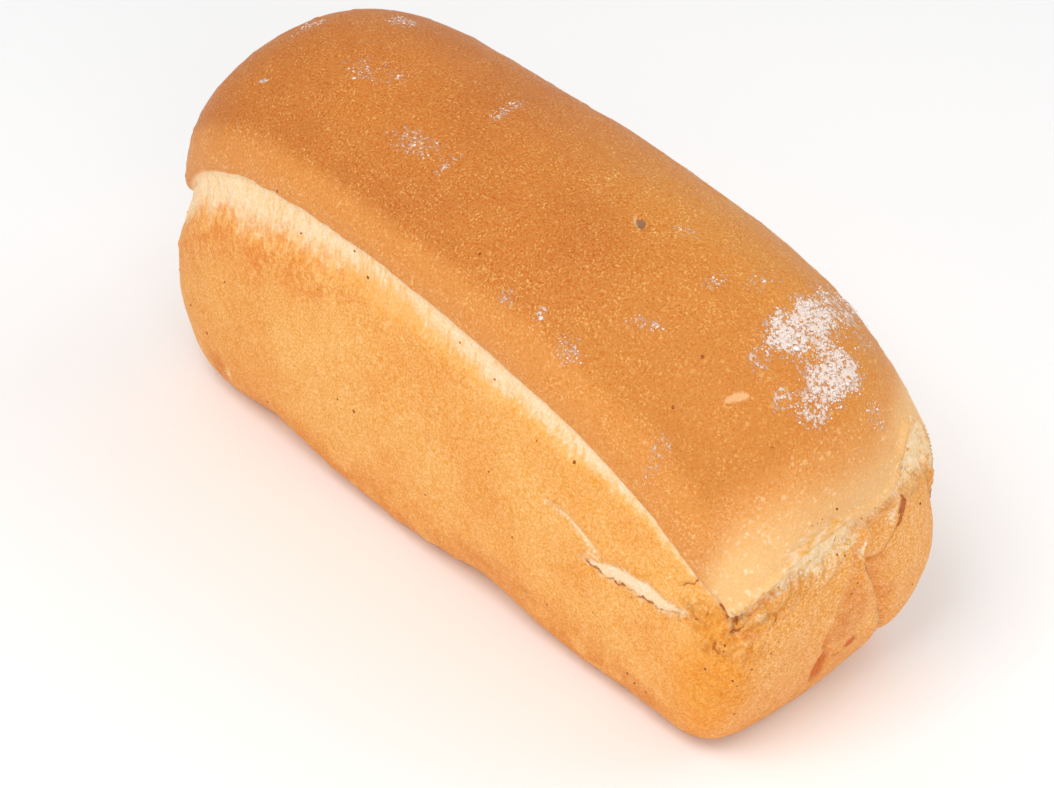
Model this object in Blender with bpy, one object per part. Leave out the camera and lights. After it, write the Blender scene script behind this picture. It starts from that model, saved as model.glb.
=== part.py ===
"""Tin loaf: one uncut loaf of white bread, baked in a long tin.

Metres, +Z up. The loaf lies along X and stands on Z = 0, with the middle of its box on the
Z axis. +X is the low end, where the crumb has pushed out under the crust in lobes and folds.

The skin is one square patch, -1 to 1 along the loaf (u) and across it (v). The top crust is
the patch itself, raised into a dome. The walls are the patch's edge, drawn down row by row:
first round the lip of the crust, then down the wall and round its foot to the flat base.
"""
import math

import bmesh
import bpy
import numpy as np

MM = 0.001

# Mesh density: spaces along the loaf, across it, round the lip and down the wall.
SPACES_ALONG = 44
SPACES_ACROSS = 28
LIP_ROWS = 3
WALL_ROWS = 20

# Plan of the crust's rim.
HALF_LENGTH = 138.0 * MM
HALF_WIDTH = 50.3 * MM
CORNER_CUT_FAR = 8.0 * MM
CORNER_CUT_NEAR = 4.2 * MM
NEAR_END_BOW = 3.9 * MM
SIDE_BOW = 2.5 * MM

# Height of the rim: the front wall's at six even stations from the far to the near end, what
# the back wall's rim adds to it at each end, and how far it arches up across the near end.
FRONT_RIM = [81.3 * MM, 112.5 * MM, 115.3 * MM, 111.9 * MM, 99.0 * MM, 69.6 * MM]
BACK_RIM_STEP_FAR = -1.8 * MM
BACK_RIM_STEP_NEAR = -3.9 * MM
NEAR_END_RISE = 21.6 * MM

# Dome: its height in the middle, the tilt and cup of the crown line, and how square it is.
CROWN_HEIGHT = 145.7 * MM
CROWN_TILT = 2.6 * MM
CROWN_CUP = 11.1 * MM
SQUARENESS_FAR = 2.62
SQUARENESS_NEAR = 2.1
SQUARENESS_SIDE = 1.96

# Walls: lean in at the foot, belly at half height, foot radius and the crust's overhang.
FAR_TAPER, FAR_BELLY, FAR_FOOT, FAR_OVERHANG = 0.0, 9.2 * MM, 21.0 * MM, 6.0 * MM
NEAR_TAPER, NEAR_BELLY, NEAR_FOOT, NEAR_OVERHANG = 11.7 * MM, 6.3 * MM, 5.0 * MM, 0.0
SIDE_TAPER, SIDE_BELLY, SIDE_FOOT = 4.2 * MM, 5.3 * MM, 12.3 * MM
FRONT_OVERHANG, BACK_OVERHANG = 1.4 * MM, 1.8 * MM
LIP_HEIGHT = 2.9 * MM

# The foot is rounder in places: under the smaller lobe, and at two stretches of each side
# wall, as (middle, half length) of the patch for the front wall and mirrored for the back.
LOBE_FOOT_EXTRA = 16.0 * MM
SIDE_FOOT_EXTRA = 9.0 * MM
SIDE_FOOT_STRETCHES = ((-0.60, 0.16), (0.21, 0.18))

# The near end's folds. Each is a line across the end wall, as (y, z) at its top and its foot,
# with its depth and half width: the crease between the two lobes, the slit above the smaller
# lobe, and the shallow fold in the larger one.
CREASE = ((-3.0 * MM, 86.0 * MM), (26.0 * MM, 14.0 * MM), 4.6 * MM, 7.5 * MM)
SLIT = ((19.0 * MM, 84.0 * MM), (13.0 * MM, 66.0 * MM), 2.0 * MM, 3.0 * MM)
FOLD = ((0.0, 74.0 * MM), (-9.0 * MM, 20.0 * MM), 1.2 * MM, 4.0 * MM)
FOLDS = (CREASE, SLIT, FOLD)
FOLD_END_FADE = 10.0 * MM

# The break: the groove under the near end's crust, as depth, drop below the rim, half width.
BREAK_DEPTH = 2.2 * MM
BREAK_DROP = 6.0 * MM
BREAK_HALF_WIDTH = 5.0 * MM

# The tear in the front wall, as (x, z) at its two ends, with its depth and half width.
TEAR = ((58.0 * MM, 67.0 * MM), (120.0 * MM, 59.0 * MM), 1.5 * MM, 4.0 * MM)

CRUST_COLOUR = (0.74, 0.27, 0.06, 1.0)
CRUST_ROUGHNESS = 0.55


def smooth(t):
    """Ease from 0 to 1 as t goes from 0 to 1."""
    t = np.clip(t, 0.0, 1.0)
    return t * t * (3.0 - 2.0 * t)


def along(u, far, near):
    """A size that changes smoothly from the far end to the near end."""
    return far + (near - far) * smooth((u + 1.0) / 2.0)


def plan(u, v):
    """Rim outline: a rectangle whose corners are pulled in until they are round.

    The near end bows out, and so do the sides in the middle of their length.
    """
    cut = along(u, CORNER_CUT_FAR, CORNER_CUT_NEAR)
    pull = cut * np.abs(u) ** (HALF_LENGTH / (2 * cut)) * np.abs(v) ** (HALF_WIDTH / (2 * cut))
    x = HALF_LENGTH * u - np.sign(u) * pull + NEAR_END_BOW * np.maximum(u, 0.0) ** 3 * (1.0 - v * v)
    y = HALF_WIDTH * v - np.sign(v) * pull + SIDE_BOW * v * (1.0 - u * u)
    return x, y


def rim_height(u, v):
    """Curve through the front wall's six heights, stepped to the back, arched at the near end."""
    stations = np.linspace(-1.0, 1.0, len(FRONT_RIM))
    front = np.polyval(np.polyfit(stations, FRONT_RIM, len(FRONT_RIM) - 1), u)
    across = (v + 1.0) / 2.0
    step = BACK_RIM_STEP_FAR * (1.0 - u) / 2.0 + BACK_RIM_STEP_NEAR * (1.0 + u) / 2.0
    arch = NEAR_END_RISE * np.maximum(u, 0.0) ** 6 * 4.0 * across * (1.0 - across)
    return front + across * step + arch


def dome_height(u, v):
    """From the rim up to the crown line, along a rounded-square arch in each direction."""
    square = SQUARENESS_FAR + (SQUARENESS_NEAR - SQUARENESS_FAR) * smooth(u + 0.5)
    arch_along = np.maximum(1.0 - np.abs(u) ** square, 0.0) ** (1.0 / square)
    arch_across = np.maximum(1.0 - np.abs(v) ** SQUARENESS_SIDE, 0.0) ** (1.0 / SQUARENESS_SIDE)
    crown = CROWN_HEIGHT + CROWN_TILT * u + CROWN_CUP * u * u
    rim = rim_height(u, v)
    return rim + (crown - rim) * arch_along * arch_across


def wall_inset(z, rim, overhang, taper, belly, foot):
    """How far the wall stands in from the rim's outline at height z."""
    up = np.clip(z / rim, 0.0, 1.0)
    foot_arc = foot - np.sqrt(np.maximum(foot ** 2 - np.maximum(foot - z, 0.0) ** 2, 0.0))
    return overhang + taper * (1.0 - up) - belly * 4.0 * up * (1.0 - up) + foot_arc


def valley(a, b, line):
    """Depth of a groove along a straight line, at points (a, b) of a wall.

    A bell across the line, which fades out over its two ends.
    """
    (a0, b0), (a1, b1), depth, half_width = line
    length = math.hypot(a1 - a0, b1 - b0)
    run = ((a - a0) * (a1 - a0) + (b - b0) * (b1 - b0)) / length
    off = ((a - a0) * (b1 - b0) - (b - b0) * (a1 - a0)) / length
    ends = smooth((run + FOLD_END_FADE) / FOLD_END_FADE)
    ends = ends * smooth((length + FOLD_END_FADE - run) / FOLD_END_FADE)
    return depth * ends * np.exp(-(off / half_width) ** 2)


def wall_point(u, v, z, rim, lip):
    """A point of the wall at height z. lip is 1 below the crust's lip and 0 on the rim."""
    x, y = plan(u, v)
    end_foot = along(u, FAR_FOOT, NEAR_FOOT + LOBE_FOOT_EXTRA * smooth(v))
    mirrored = -np.sign(v) * u
    stretches = sum(np.exp(-((mirrored - middle) / half) ** 2) for middle, half in SIDE_FOOT_STRETCHES)
    end = wall_inset(z, rim, lip * along(u, FAR_OVERHANG, NEAR_OVERHANG), along(u, FAR_TAPER, NEAR_TAPER),
                     along(u, FAR_BELLY, NEAR_BELLY), end_foot)
    side = wall_inset(z, rim, lip * np.where(v < 0.0, FRONT_OVERHANG, BACK_OVERHANG),
                      SIDE_TAPER, SIDE_BELLY, SIDE_FOOT + SIDE_FOOT_EXTRA * stretches)
    x = x * (1.0 - end / HALF_LENGTH)
    y = y * (1.0 - side / HALF_WIDTH)
    near_end = smooth((u - 0.96) / 0.04)
    below = (rim - z - BREAK_DROP) / BREAK_HALF_WIDTH
    hollow = BREAK_DEPTH * np.exp(-below ** 2) + sum(valley(y, z, line) for line in FOLDS)
    x = x - near_end * lip * hollow
    front = smooth((-0.9 - v) / 0.1)
    y = y + front * lip * valley(x, z, TEAR)
    return x, y, z


def wall_rows(u, v):
    """Rows from just under the rim down to the flat base, each as whole arrays x, y, z."""
    rim = rim_height(u, v)
    for row in range(1, LIP_ROWS + 1):
        angle = math.pi / 2 * row / LIP_ROWS
        z = rim - LIP_HEIGHT * math.sin(angle)
        yield wall_point(u, v, z, rim, 1.0 - math.cos(angle))
    for row in range(1, WALL_ROWS + 1):
        up = 0.5 + 0.5 * math.cos(math.pi * row / WALL_ROWS)
        yield wall_point(u, v, up * (rim - LIP_HEIGHT), rim, 1.0)


def spread(t):
    """Half even, half drawn to the ends, so that the steep edges get more faces."""
    return 0.5 * t + 0.5 * np.sin(t * math.pi / 2)


def move(verts, points):
    """Put each vertex at its point."""
    for vert, point in zip(verts, np.column_stack(points)):
        vert.co = point


def loaf_mesh():
    """The closed skin of the loaf."""
    bm = bmesh.new()
    u_layer = bm.verts.layers.float.new("u")
    v_layer = bm.verts.layers.float.new("v")
    bmesh.ops.create_grid(bm, x_segments=SPACES_ALONG, y_segments=SPACES_ACROSS, size=1.0)
    for vert in bm.verts:
        vert[u_layer] = spread(vert.co.x)
        vert[v_layer] = spread(vert.co.y)

    def patch(verts):
        return np.array([[vert[u_layer], vert[v_layer]] for vert in verts], dtype=float).T

    crust = list(bm.verts)
    u, v = patch(crust)
    move(crust, (*plan(u, v), dome_height(u, v)))

    edge = [edge for edge in bm.edges if edge.is_boundary]
    rim_verts = list({vert for one in edge for vert in one.verts})
    for points in wall_rows(*patch(rim_verts)):
        made = bmesh.ops.extrude_edge_only(bm, edges=edge)["geom"]
        edge = [item for item in made if isinstance(item, bmesh.types.BMEdge) and item.is_boundary]
        row = {(vert[u_layer], vert[v_layer]): vert for one in edge for vert in one.verts}
        move([row[(vert[u_layer], vert[v_layer])] for vert in rim_verts], points)
    bmesh.ops.contextual_create(bm, geom=edge)
    stand_on_origin(bm)
    bmesh.ops.recalc_face_normals(bm, faces=bm.faces)
    mesh = bpy.data.meshes.new("loaf")
    bm.to_mesh(mesh)
    bm.free()
    return mesh


def stand_on_origin(bm):
    """Centre the mesh's box on the Z axis, with its foot at Z = 0."""
    points = np.array([vert.co for vert in bm.verts])
    low, high = points.min(axis=0), points.max(axis=0)
    middle = (low + high) / 2
    bmesh.ops.translate(bm, verts=bm.verts, vec=(-middle[0], -middle[1], -low[2]))


def crust_material():
    """Golden brown bread crust."""
    material = bpy.data.materials.new("crust")
    material.use_nodes = True
    shader = material.node_tree.nodes["Principled BSDF"]
    shader.inputs["Base Color"].default_value = CRUST_COLOUR
    shader.inputs["Roughness"].default_value = CRUST_ROUGHNESS
    shader.inputs["Metallic"].default_value = 0.0
    return material


def main():
    """Clear the scene and build the loaf."""
    for old in list(bpy.data.objects):
        bpy.data.objects.remove(old)
    mesh = loaf_mesh()
    mesh.materials.append(crust_material())
    mesh.shade_smooth()
    loaf = bpy.data.objects.new("loaf", mesh)
    bpy.context.scene.collection.objects.link(loaf)


main()
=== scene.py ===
"""Tin loaf: the looks of one uncut loaf of white bread, baked in a long tin.

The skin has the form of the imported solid, with the relief of a baked crust: the torn band under
the top crust, the wrinkled near end with its folds, the tear in the front wall, and a hole.
Flour, crumbs and burnt specks lie on it as pieces of their own.

Metres, +Z up. The loaf lies along X and stands on Z = 0. +X is the near, low end, and the front
wall faces -Y. A field or a relief is a numpy array with one entry for each vertex.
"""
import math

import bpy
import numpy as np
from bpy.props import FloatProperty, FloatVectorProperty, IntProperty, PointerProperty
from bpy.types import Operator, Panel, PropertyGroup
from mathutils import Matrix, Vector


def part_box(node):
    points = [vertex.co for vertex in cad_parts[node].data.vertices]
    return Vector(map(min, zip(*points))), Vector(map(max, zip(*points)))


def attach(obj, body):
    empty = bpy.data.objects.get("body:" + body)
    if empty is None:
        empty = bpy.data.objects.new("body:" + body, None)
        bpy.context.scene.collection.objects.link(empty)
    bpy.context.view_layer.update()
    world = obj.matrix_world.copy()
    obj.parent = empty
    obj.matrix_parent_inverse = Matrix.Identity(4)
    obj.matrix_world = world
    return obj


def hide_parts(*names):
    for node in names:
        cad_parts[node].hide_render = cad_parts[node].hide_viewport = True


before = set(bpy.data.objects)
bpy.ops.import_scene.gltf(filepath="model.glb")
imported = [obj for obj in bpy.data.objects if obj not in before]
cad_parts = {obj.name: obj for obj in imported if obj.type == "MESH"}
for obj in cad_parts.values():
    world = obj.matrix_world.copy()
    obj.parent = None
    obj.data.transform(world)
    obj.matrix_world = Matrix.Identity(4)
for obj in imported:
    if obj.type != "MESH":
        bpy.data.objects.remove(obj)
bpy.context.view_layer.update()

bl_info = {
    "name": "Tin loaf",
    "version": (1, 0, 0),
    "blender": (4, 5, 0),
    "location": "View3D > Sidebar > Tin loaf",
    "description": "Builds a tin loaf's crust, its torn edges, its flour and crumbs, and a stage",
    "category": "Add Mesh",
}

MM = 0.001
LOAF_LOW, LOAF_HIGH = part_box("loaf")

# ---- Form of the loaf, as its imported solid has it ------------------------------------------

# Plan of the crust's rim.
HALF_LENGTH = 138.0 * MM
HALF_WIDTH = 50.3 * MM
CORNER_CUT_FAR = 8.0 * MM
CORNER_CUT_NEAR = 4.2 * MM
NEAR_END_BOW = 3.9 * MM
SIDE_BOW = 2.5 * MM

# Height of the rim: at six even stations of the front wall, then what the back adds, and the arch.
FRONT_RIM = [81.3 * MM, 112.5 * MM, 115.3 * MM, 111.9 * MM, 99.0 * MM, 69.6 * MM]
BACK_RIM_STEP_FAR = -1.8 * MM
BACK_RIM_STEP_NEAR = -3.9 * MM
NEAR_END_RISE = 21.6 * MM

# Dome.
CROWN_HEIGHT = 145.7 * MM
CROWN_TILT = 2.6 * MM
CROWN_CUP = 11.1 * MM
SQUARENESS_FAR = 2.62
SQUARENESS_NEAR = 2.1
SQUARENESS_SIDE = 1.96

# Walls: lean in at the foot, belly at half height, foot radius and the crust's overhang.
FAR_TAPER, FAR_BELLY, FAR_FOOT, FAR_OVERHANG = 0.0, 9.2 * MM, 21.0 * MM, 6.0 * MM
NEAR_TAPER, NEAR_BELLY, NEAR_FOOT, NEAR_OVERHANG = 11.7 * MM, 6.3 * MM, 5.0 * MM, 0.0
SIDE_TAPER, SIDE_BELLY, SIDE_FOOT = 4.2 * MM, 5.3 * MM, 12.3 * MM
FRONT_OVERHANG, BACK_OVERHANG = 1.4 * MM, 1.8 * MM
LIP_HEIGHT = 2.9 * MM
LOBE_FOOT_EXTRA = 16.0 * MM
SIDE_FOOT_EXTRA = 9.0 * MM
SIDE_FOOT_STRETCHES = ((-0.60, 0.16), (0.21, 0.18))

# ---- Mesh density ----------------------------------------------------------------------------

SPACES_ALONG = 256
SPACES_ACROSS = 144
LIP_ROWS = 6
BREAK_ROWS = 20
WALL_ROWS = 28
FOOT_ROWS = 12
BREAK_BAND = 22.0 * MM
FOOT_BAND = 22.0 * MM
BASE_RINGS = (0.8, 0.55, 0.3, 0.12)
BASE_RISE = 0.5 * MM

# ---- Marks of the bake, in millimetres, each at its place on the loaf --------------------------

# A strand is a chain of places, each with its half width; a negative one leaves only a faint line.
# Strands and ovals are in (x, z) on the front wall, in (y, z) on the near end, in (x, y) on the top.

# Height of the torn band under the crust, at even stations along the front and the back wall.
FRONT_BAND = (22.0, 21.0, 18.0, 15.5, 14.5, 11.0, 5.5, 3.0)
BACK_BAND = (17.0, 19.0, 16.0, 14.0, 15.0, 13.0, 12.0, 14.0)
FAR_BAND = 19.0
# How far the crust wraps down over the band, and what it has more of towards the far end.
LIP_DEPTH = 1.8
FAR_LIP_EXTRA = 0.9
# Lower edge of the crust across the near end, as (y, z), and the height of the band under it.
NEAR_EDGE = ((-52, 60), (-47, 67), (-41, 75), (-36, 79), (-28, 84), (-20, 87), (-12, 88), (4, 86.5),
             (13, 87.5), (17.5, 91), (19.5, 97), (26, 100.5), (34, 100), (41, 93), (52, 80))
NEAR_BAND = ((-52, 2.5), (-40, 5), (-31, 8), (-22, 12.5), (-15, 13), (-8, 10), (-4, 5), (15, 5),
             (19, 13), (27, 17), (34, 16), (42, 14), (52, 14))

# Height of the wrinkled skin over that edge, as (y, height).
RIM_FOLDS = ((-50, 4), (-42, 4), (-37, 2.5), (-34, 3), (-30, 7), (-22, 8.5), (-15, 8), (-8, 4), (0, -2))

# The near end: the crease between its two lobes, the fold beside it, and the flap over them. A step
# has its lowest and highest z and the width over which it eases out, and drops within its run.
CREASE = ((0, 80), (2.8, 68), (7, 59), (11.5, 49.5), (15.5, 40), (19.5, 31), (23, 20), (26, 10))
FOLD = ((-3, 75), (-4.5, 67), (-6, 57), (-8.6, 47.5), (-9.8, 38), (-8, 29), (-6.5, 20))
STEP_RUN = 1.6
CREASE_STEP = (2.0, 70.0, 4.5)
FOLD_STEP = (14.0, 78.0, 7.0)
NEAR_LOBES = ((32, 38, 13, 26, 1.0), (-24, 48, 16, 18, 0.7))
FLAP_HOLLOW = (10.5, 77, 8, 6, 1.0)
FLAP = ((0.8, 80, 0.6), (1.7, 75, 1.0), (2.2, 70, 0.7), (2.6, 66.5, 0.1))
# The near end's cracks are painted dark: their browner crust and painted shade in their depths. The third
# strand is a painted shadow beside the flap, and the sixth, under the crust at the front corner, is partly a
# painted shadow line.
NEAR_CRACKS = (
    ((3, 67, 0.1), (7, 59, 0.2), (11.5, 49.5, 0), (15.5, 40, 0.1), (19.5, 31, 0), (23, 18, 0)),
    ((20.6, 83.5, 0), (21.6, 80.5, 1.1), (22, 76.5, 1.7), (21, 73, 1.0), (18.6, 70.5, 0)),
    ((3.2, 77, -0.1), (4.2, 73, 0.2), (3.9, 69, 0)),
    ((-0.7, 79, -0.2), (-0.3, 74, 0), (1.1, 69, -0.2)),
    ((-3.5, 84.5, -0.2), (1, 84, 0), (6.6, 84, -0.1), (15.5, 84.5, -0.2)),
    ((-46.6, 61.3, 0.4), (-45, 63.5, 0.2), (-43.8, 65.6, -0.1), (-40.8, 70.5, 0), (-38.5, 72.5, -0.1)),
    ((-37.5, 77.5, 0.1), (-36, 79, 0.5), (-34.4, 80.5, 0)),
    ((-36.5, 74.5, -0.2), (-35, 77, 0.1), (-34, 79.5, 0.3), (-32.5, 82, 0.1), (-30.5, 84.5, -0.2)),
    ((-35, 67.5, -0.1), (-34.5, 64.8, 0.3), (-35.5, 62.7, 0.2), (-37.5, 61.6, -0.1)),
)
# Wrinkles on the near end are painted darker: partly their browner skin, partly painted shade in their folds.
NEAR_WRINKLES = (
    ((-4.5, 67, -0.4), (-6, 57, -0.1), (-8.6, 47.5, 0.2), (-9.8, 38, 0.4)),
    ((18.5, 69.5, 0), (15.2, 67.5, 0.2), (14, 65, 0.5), (10.7, 63, 0.4), (7, 62.5, 0.2)),
    ((-9, 74, 0), (-11.2, 69.2, 0.1), (-13.8, 66.8, 0), (-18.9, 67.2, -0.3)),
    ((-20.5, 74.5, 0.3), (-21.2, 71, 0.1), (-23, 68.7, 0.1), (-27.3, 64.3, -0.2)),
    ((-28, 78, 0), (-29, 71, 0.3), (-32, 68, 0.1), (-34, 66.5, -0.2)),
    ((-24, 76, 0), (-25, 72, 0.2), (-26.5, 68, 0)),
    ((-13.5, 79, 0), (-16, 73, 0.2)),
    ((-37.4, 70, 0), (-37, 66, 0.4), (-40.3, 64, 0.5), (-43, 62.7, 0.1)),
    ((35, 83, 0.3), (40, 74, 0.8), (46, 64, 0.2)),
)

# The front wall: the tear with its thin start, whose pale line is a painted highlight on the crust's lip over
# it, and the cracks at the near corner.
TEARS = (
    ((60, 69.8, 0.2), (67, 69.6, 0.5), (72, 67.6, 0.8), (77, 64.8, 1.1), (82, 62.2, 0.5)),
    ((76, 56.8, 0), (79, 56.6, 1.0), (86, 58.2, 2.6), (94, 59.6, 3.3), (102.5, 60.2, 3.4),
     (109.5, 59.6, 2.6), (118, 62, 0.4)),
)
FRONT_CRACKS = (
    ((114.5, 71, 0), (117.4, 73.3, 0.2), (119, 74, 0.1), (120.5, 76.6, 0.1)),
    ((127.5, 72, 0), (129.4, 70.1, 0.6), (130.5, 68.3, 0), (132, 66.5, 0.4), (133.3, 65, 0.1)),
    ((129.9, 57.8, 0.3), (130, 55, 0.4), (131.4, 53.5, 0)),
    ((124, 63, -0.2), (125.5, 66, 0.1), (125, 69, -0.2)),
    ((76, 56.4, 0), (80, 55.2, 0.35), (86, 55.3, 0), (92, 55.8, 0.35), (97, 56.2, 0),
     (102, 56.5, 0.3), (109, 56.8, 0.1), (116, 60, 0)),
)

# Tints as (place, half sizes, strength), on the front wall and on the near end. The khaki ones are painted
# shade on the dough under the crust's edge and in its hollows.
FRONT_TINTS = {
    "brown": ((38, 22, 28, 10, 0.5), (-60, 12, 34, 7, 0.35), (98, 15, 18, 6, 0.45), (-118, 64, 16, 14, 0.3),
              (-108, 17, 7, 8, 0.6), (122, 61, 5, 5, 0.45), (-124, 30, 8, 12, 0.3), (130, 57, 3, 4, 0.6)),
    "gold": ((130, 34, 18, 30, 0.9), (130, 62, 10, 8, 0.9)),
    "cream": ((-102, 17, 2, 4, 0.8),),
    "khaki_shade": ((131, 70, 4, 3, 0.5),),
}
NEAR_TINTS = {
    # The brown oval at (3, 42), between the fold and the crease, is painted shade on the side turned from the
    # light; the other brown ovals are stains baked browner.
    "brown": ((9.5, 25.5, 3.2, 3.2, 1.1), (5.3, 21, 4, 2.5, 0.7), (-4, 31, 3.5, 9, 0.75),
              (-2.2, 20, 4.5, 9, 0.95), (3, 42, 10, 20, 0.55), (20, 43, 6, 6, 0.5), (10, 63, 7, 2, 0.6),
              (41, 72, 5, 8, 0.3), (-42, 61, 4, 3, 0.6), (-37, 67, 2, 3, 0.5), (-30, 66, 5, 3, 0.35)),
    "gold": ((-48, 34, 12, 30, 0.9), (-30, 12, 14, 8, 0.4), (-14, 70, 5, 5, 0.4), (-24, 70, 5, 4, 0.4)),
    "cream": ((-18, 80, 11, 7, 1.0), (26, 94, 7, 7, 1.0), (1.7, 75, 1.6, 7, 1.0), (-15, 73, 9, 5, 0.5),
              (-7, 80, 6, 4, 0.8), (-33, 76, 6, 2.5, 0.8), (-39, 67, 2.5, 3, 0.8), (17, 77, 2.5, 5, 0.7),
              (24, 46, 3, 5, 0.3)),
    "khaki_shade": ((-43, 66, 5, 2.5, 0.5), (-30, 70, 7, 4, 0.4), (-22, 93, 5, 4, 0.5), (27, 82, 9, 4, 0.6),
              (7, 80, 5, 3, 0.3)),
}
# Pale marks on the top, and beside one of them a hole, as (x, y, radius).
TOP_MARKS = (
    ((105.4, -28.4, 0.5), (106.8, -26, 1.3), (108.6, -23.4, 0.8)),
    ((41.4, -3.4, 0.2), (42.6, -5.4, 0.6), (44.6, -7.2, 0.6), (46.8, -7.6, 0.3)),
)
HOLE = (45.0, -5.0, 2.2)
# Crumpled crust beside the near corner, on the front wall and on the near end.
FRONT_CRUMPLED = ((124, 65, 9, 9, 1.0), (131, 57, 8, 9, 1.0), (128, 36, 8, 14, 0.5))
NEAR_CRUMPLED = ((-45, 57, 8, 9, 1.0), (-36, 66, 8, 5, 0.7), (-44, 38, 8, 14, 0.5))

# Burnt specks with their radius, on the front wall (x, z), the near end (y, z) and the top (x, y).
FRONT_SPECKS = (
    (-98, 63, 0.5), (-61, 103, 0.5), (-50, 87, 0.4), (-28, 105, 0.5), (-36, 110, 0.4), (16, 105, 0.4),
    (32, 100, 0.5), (-39, 49, 0.5), (-31, 49, 0.6), (54, 90, 0.5), (68, 91, 0.5), (34, 66, 0.4),
    (-122, 36, 0.5), (-80, 19, 0.4), (96, 18, 0.5), (99, 17, 0.5), (104, 16, 0.4), (60, 24, 0.4),
    (18, 75, 0.3), (128, 45, 0.4), (-112, 30, 0.5), (133, 57.7, 0.5), (133.8, 55.7, 0.4), (4, 33, 0.4),
    (46, 45, 0.4), (81, 36, 0.4), (77, 55, 0.3), (81, 54, 0.3), (85, 54.3, 0.2), (90, 54.8, 0.3),
    (97, 55.4, 0.2), (103, 55.6, 0.3), (107, 56, 0.2), (122, 62, 0.5), (120.6, 65, 0.3),
)
NEAR_SPECKS = (
    (32, 73, 0.6), (-8.4, 82, 0.4), (-9, 80.2, 0.5), (-9.8, 77.6, 0.5), (-7.8, 76.3, 0.4), (-9, 74.4, 0.3),
    (2, 58, 0.4), (1, 53, 0.4), (-34, 42, 0.4), (-30, 20, 0.4), (30, 30, 0.4), (-44, 49, 0.3),
    (-46, 43, 0.5), (-44.6, 41, 0.3), (-41, 24, 0.4), (34, 38, 0.5), (5, 88, 0.3), (-33, 76, 0.4),
    (-36, 52, 0.4), (-39, 56, 0.3), (-33, 55, 0.3), (-41, 47, 0.4),
)
TOP_SPECKS = (
    (92, -26, 0.6), (95, -39, 0.5), (107, 28, 0.4), (-72, -52, 0.5), (12, -42, 0.4), (122, -25, 0.4),
    (139.6, -11.5, 0.4), (139, -20, 0.3), (138.8, -22, 0.25), (139.2, -18, 0.2),
)

# Flour on the top crust as (x, y, half length, half width, turn in degrees, density).
FLOUR = (
    (103, 1, 7, 10, 0, 1.0), (102, 13, 8, 9, 0, 1.0), (100, 26, 8, 8, 0, 0.75), (97, 36, 6, 7, 0, 0.6),
    (111, 8, 5, 6, 0, 0.85), (118, 10, 6.5, 7, 0, 1.0), (119, 1, 6, 8, 0, 1.0), (122, -8, 5, 6, 0, 0.75),
    (116, -15, 4, 4, 30, 0.62), (104, -13, 4, 6, 20, 0.5), (85, 8, 5, 7, 0, 0.36), (78, -6, 3, 5, 0, 0.5),
    (90, 30, 2, 5, 0, 0.55), (130, 13, 4, 4, 0, 0.45), (110, 26, 5, 8, 0, 0.4), (112, -3, 4, 4, 0, 0.5),
    (-35, -25, 11, 5, 10, 0.5), (-20, -26, 1.8, 6, 0, 0.66), (-26, 6, 3, 10, 12, 0.55),
    (-71, -11, 12, 6, 20, 0.38), (-111, -5, 3, 8, -10, 0.5), (-91, 19, 6, 6, 0, 0.62),
    (-118, 38, 12, 4, -10, 0.5), (-128, 12, 3, 8, 0, 0.5), (-102, -32, 1.8, 0.9, 10, 1.0),
    (-137, -1, 1.2, 1.8, 0, 0.9), (43, -44, 1.5, 1.5, 0, 0.9),
    (57, -46, 5, 3, 0, 0.5), (30, -46, 4, 2, 0, 0.4), (97, -47, 4, 4, 0, 0.4), (72, -30, 6, 2, 25, 0.5),
    (57, 3, 5, 3, 30, 0.35), (-40, 40, 20, 5, 5, 0.33), (20, 44, 16, 5, 0, 0.3), (60, 38, 7, 4, 20, 0.33),
)

# Tints in the order in which they are painted over each other.
TINTS = ("brown", "gold", "khaki_shade", "cream")
# Each kind of line: its strands, and the two axes that they are given in.
LINES = {
    "near_crack": (NEAR_CRACKS, (1, 2)),
    "near_wrinkle": (NEAR_WRINKLES, (1, 2)),
    "front_tear": (TEARS, (0, 2)),
    "front_crack": (FRONT_CRACKS, (0, 2)),
    "top_mark": (TOP_MARKS, (0, 1)),
}
# How near a line may come by wandering, in millimetres.
LINE_REACH = 1.3

# The body that every piece rides on.
PIECE_BODY = "root"

# Where the end walls and the side walls begin as the rim turns its corners, and over how much of
# the patch they ease in.
END_TURN = (0.96, 0.04)
SIDE_TURN = (0.9, 0.1)

# The texture map: its side, the margin round each part, the top, the strips and the base's place.
CHART_SIZE = 425.0 * MM
CHART_MARGIN = 3.0 * MM
CHART_TOP_LENGTH, CHART_TOP_HEIGHT = 340.0 * MM, 160.0 * MM
CHART_STRIP_HEIGHT = 124.0 * MM
CHART_BASE_PLACE = (399.0 * MM, 64.0 * MM)
CHART_BASE_SHARE = 0.42


# ---- Whole-array mathematics -------------------------------------------------------------------

def smooth(t):
    """Ease from 0 to 1 as t goes from 0 to 1: 3 t squared less 2 t cubed."""
    t = np.clip(t, 0.0, 1.0)
    return t * t * (3.0 - 2.0 * t)


def eased(t, start, width):
    """Ease from 0 to 1 as t goes from the start over the width, which may be negative."""
    return smooth((t - start) / width)


def mixed(under, over, share):
    """The first where the share is 0, the second where it is 1, and their weighted mean between."""
    return under * (1.0 - share) + over * share


def along(u, far, near):
    """A size that eases from the far end to the near end."""
    return far + (near - far) * smooth((u + 1.0) / 2.0)


def stations(t, sizes):
    """Sizes at even stations over t = -1 to 1, joined by straight lines."""
    return np.interp(t, np.linspace(-1.0, 1.0, len(sizes)), sizes)


def profile(t, places):
    """Height over t of a line through a few (t, height) places."""
    return np.interp(t, *np.transpose(places))


def bell(distance, half_width):
    """e to minus (distance / half width) squared."""
    return np.exp(-(distance / half_width) ** 2)


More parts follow.
